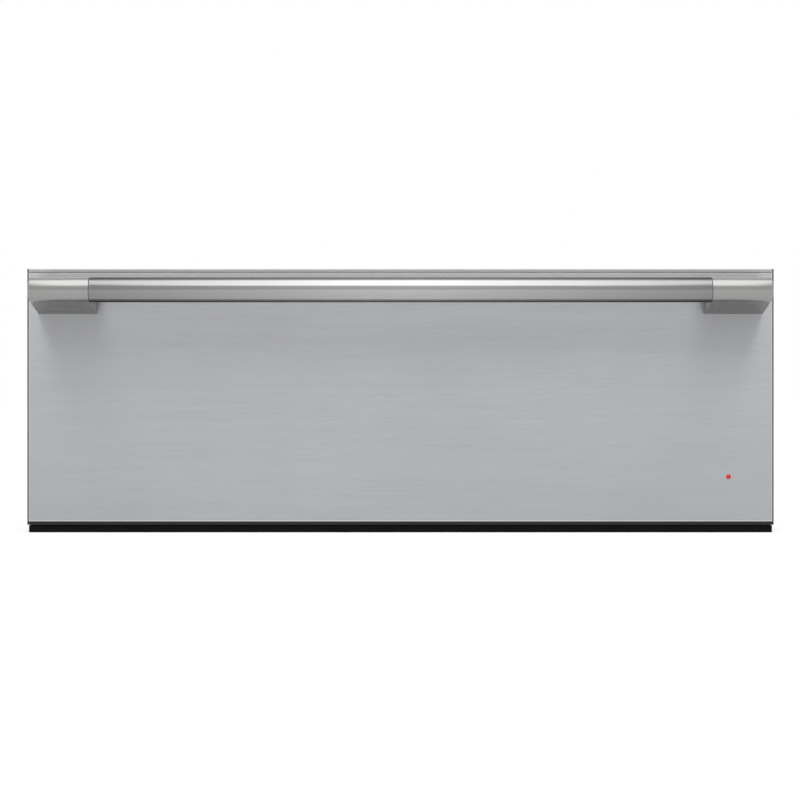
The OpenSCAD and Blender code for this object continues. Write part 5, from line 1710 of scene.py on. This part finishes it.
@dataclass
class Controls(Assembly):
    """The strip on the frame behind the closed front, with its window, keys and board.

    Attributes:
        mark_width: Width of a mark's lines.
        flange: How far the key's flange stands out of its cap.
        stem: Radius of the key's stem.
        dish: Depth of the hollow in the key's cap.
    """

    mark_width: float = 0.7 * MM
    flange: float = 1.0 * MM
    stem: float = 2.0 * MM
    dish: float = 0.35 * MM

    def key(self, word: str) -> Piece:
        """Returns a key: a dished cap with a round edge, its flange and its stem."""
        low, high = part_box(f"button_{word}")
        centre = middle(low, high, 1)
        radius = (high.x - low.x) / 2 - self.flange
        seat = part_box("control_panel")[1].y + 0.1 * MM
        front = low.y
        profile = [(front + self.dish, 0.0), (front + 0.85 * self.dish, 0.35 * radius)]
        profile += [(front + 0.45 * self.dish, 0.62 * radius), (front + 0.05 * MM, 0.82 * radius)]
        profile += [(front, 0.88 * radius), (front + 0.12 * MM, 0.95 * radius), (front + 0.5 * MM, radius)]
        inner, wide = seat + self.flange, radius + self.flange
        profile += [(seat, radius), (seat, wide), (inner, wide)]
        profile += [(inner, self.stem), (high.y, self.stem), (high.y, 0.0)]
        form = bmesh.new()
        lathe(form, centre, "y", profile, 64)
        return piece_from(f"key_{word}_cap", form, crease=32.0)

    def lines(self, mark: Mark, size: float) -> list[tuple[list[Point], bool]]:
        """Returns a mark's lines.

        Args:
            mark: Which mark.
            size: Half its size.

        Returns:
            Each line's points, and whether it is closed.
        """
        if mark is Mark.POWER:
            bar = [(0.0, 0.25 * size), (0.0, 1.25 * size)]
            return [(arc((0.0, 0.0), size, 125, 415, 24), False), (bar, False)]
        if mark is Mark.TIMER:
            hands = [(0.0, 0.65 * size), (0.0, 0.0), (0.45 * size, -0.25 * size)]
            return [(arc((0.0, 0.0), size, 0, 345, 24), True), (hands, False)]
        way = 1 if mark is Mark.UP else -1
        return [([(-size, -0.45 * size * way), (0.0, 0.5 * size * way), (size, -0.45 * size * way)], False)]

    def mark(self, mark: Mark) -> Piece:
        """Returns a key's mark, as thin inlaid lines in the hollow of its cap."""
        low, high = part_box(f"button_{mark.value}")
        middle_x, middle_z = (low.x + high.x) / 2, (low.z + high.z) / 2
        size = 0.38 * ((high.x - low.x) / 2 - self.flange)
        form = bmesh.new()
        for points, closed in self.lines(mark, size):
            count = len(points)
            rails = ([], [])
            for k, here in enumerate(points):
                before = points[k - 1] if k or closed else here
                after = points[(k + 1) % count] if k < count - 1 or closed else here
                way = Vector((after[0] - before[0], after[1] - before[1])).normalized()
                across = Vector((-way.y, way.x)) * self.mark_width / 2
                for rail, sign in zip(rails, (1, -1)):
                    x, z = middle_x + here[0], middle_z + here[1]
                    rail.append((x + sign * across.x, z + sign * across.y))
            self.ribbon(form, rails, closed, low.y + 0.12 * MM, low.y + self.dish + 0.15 * MM)
        return piece_from(f"key_{mark.value}_mark", form)

    def ribbon(self, form: Form, rails, closed: bool, y0: float, y1: float) -> None:
        """Draws a flat line of some thickness.

        Args:
            form: Where the faces go.
            rails: The line's two sides, as places in X and Z.
            closed: Whether the line is a loop.
            y0: Its front.
            y1: Its back.
        """
        loops = []
        for (ax, az), (bx, bz) in zip(*rails):
            corners = ((ax, y0, az), (bx, y0, bz), (bx, y1, bz), (ax, y1, az))
            loops.append([Vector(corner) for corner in corners])
        if closed:
            loops.append(loops[0])
        loft(form, loops, capped=not closed)

    def build(self) -> None:
        """Builds the strip, the window, the board and the four keys with their marks."""
        self.refine("control_panel", "chassis", STRIP_PLASTIC, 0.4 * MM)
        self.refine("display_window", "chassis", WINDOW_PLASTIC, 0.15 * MM)
        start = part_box("control_board")[1].y - BOARD
        self.carry(board_finish("control_board_lacquer", start), "control_board")
        for mark in Mark:
            self.mount(self.key(mark.value), f"key_{mark.value}", KEY_PLASTIC, f"button_{mark.value}")
            self.mount(self.mark(mark), f"key_{mark.value}", MARK_PAINT)


# ---------------------------------------------------------------------------------------------- studio


@dataclass
class Studio:
    """The pale floor, the white room, the lamp and the camera.

    Attributes:
        distance: From the drawer's front to the camera.
        lens: Focal length of the camera.
        height: Height of the camera, which looks level.
        shift_x: How far the camera stands to the side.
        overhead: Radiance of the large soft box above the drawer.
        box_place: Where it hangs.
        box_size: Its width and depth.
        fill: Radiance of the room for diffuse light.
        floor_glow: What the floor adds to look white, near the drawer and far from it.
        glow_reach: Distances from the drawer between which it grows.
        floor_half: Half the floor's width.
        paper: The floor's colour.
    """

    distance: float = 2.2
    lens: float = 97.82 * MM
    height: float = 134.3 * MM
    shift_x: float = -0.49 * MM
    overhead: float = 1.9
    box_place: tuple[float, float, float] = (0.0, -1.45, 2.2)
    box_size: Point = (2.6, 2.9)
    fill: float = 0.4
    # floor_glow: What the floor adds to look white, near the drawer and far from it; the weaker glow near
    # the drawer is painted shade round it.
    floor_glow: Point = (0.5, 0.72)
    glow_reach: Point = (0.8, 2.6)
    floor_half: float = 30.0
    paper: tuple[float, float, float, float] = (0.8, 0.8, 0.8, 1.0)

    def camera(self) -> None:
        """Sets the camera up square before the drawer's front."""
        data = bpy.data.cameras.new("photo_camera")
        data.lens = self.lens / MM
        data.sensor_width = 36.0
        data.clip_end = 100.0
        camera = placed("photo_camera", data)
        camera.location = (self.shift_x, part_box("front_skin")[0].y - self.distance, self.height)
        camera.rotation_euler = (math.pi / 2, 0.0, 0.0)
        bpy.context.scene.camera = camera

    def lamp(self) -> None:
        """Hangs the soft box over the space before the drawer."""
        data = bpy.data.lights.new("overhead_soft_box", "AREA")
        data.shape = "RECTANGLE"
        data.size, data.size_y = self.box_size
        data.energy = self.overhead * math.pi * data.size * data.size_y
        lamp = placed("overhead_soft_box", data)
        lamp.location = self.box_place
        lamp.rotation_euler = Vector((0.0, 0.0, -1.0)).to_track_quat("-Z", "Y").to_euler()

    def seen(self, wiring: Wiring) -> Socket:
        """Returns 1 for camera, glossy and transmission rays, and 0 for the others."""
        path = wiring.add("ShaderNodeLightPath").outputs
        mirrored = wiring.math("ADD", path["Is Glossy Ray"], path["Is Transmission Ray"], clamp=True)
        return wiring.math("ADD", path["Is Camera Ray"], mirrored, clamp=True)

    def world(self) -> None:
        """Sets up the room: white to the camera and in metal and glass, and a soft fill for all else."""
        world = bpy.data.worlds.new("studio_room")
        bpy.context.scene.world = world
        world.use_nodes = True
        wiring = Wiring(world.node_tree)
        world.node_tree.nodes.clear()
        level = wiring.span(self.seen(wiring), 0.0, 1.0, self.fill, 1.0)
        light = wiring.out("ShaderNodeBackground", {"Color": WHITE, "Strength": level})
        wiring.add("ShaderNodeOutputWorld", {"Surface": light})

    def floor(self) -> None:
        """Lays the floor: pale, with its real soft shadow deepened by painted shade near the drawer, and
        white to the camera and in reflections.
        """
        mesh = bpy.data.meshes.new("studio_floor")
        half = self.floor_half
        corners = [(half * x, half * y, 0.0) for x, y in ((-1, -1), (1, -1), (1, 1), (-1, 1))]
        mesh.from_pydata(corners, [], [(0, 1, 2, 3)])
        floor = placed("studio_floor", mesh)
        material = bpy.data.materials.new("floor_paper")
        material.use_nodes = True
        material.node_tree.nodes.clear()
        wiring = Wiring(material.node_tree)
        paper = wiring.out("ShaderNodeBsdfDiffuse", {"Color": self.paper})
        # painted shade: the floor's glow is weaker near the drawer, round its real shadow
        reach = wiring.out("ShaderNodeVectorMath", {0: wiring.point()}, "Value", operation="LENGTH")
        level = wiring.span(reach, *self.glow_reach, *self.floor_glow, smooth=True)
        strength = wiring.math("MULTIPLY", self.seen(wiring), level)
        glow = wiring.out("ShaderNodeEmission", {"Color": WHITE, "Strength": strength})
        both = wiring.out("ShaderNodeAddShader", {0: paper, 1: glow})
        wiring.add("ShaderNodeOutputMaterial", {"Surface": both})
        mesh.materials.append(material)

    def build(self) -> None:
        """Builds the whole studio."""
        bpy.context.scene.view_settings.view_transform = "Standard"
        self.camera()
        self.world()
        self.floor()
        self.lamp()


# ---------------------------------------------------------------------------------------------- main


def main() -> None:
    """Builds the studio and every sub-assembly in order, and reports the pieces."""
    logging.basicConfig(level=logging.INFO, format="%(name)s: %(message)s")
    Studio().build()
    drawer = (DrawerFront, Handle, Indicator, Pan, Slides, Screws)
    for kind in (*drawer, Chassis, Heating, Electrics, Controls):
        assembly = kind()
        assembly.build()
        LOG.info("%s: %s", kind.__name__, ", ".join(assembly.pieces))


if __name__ == "__main__":
    main()
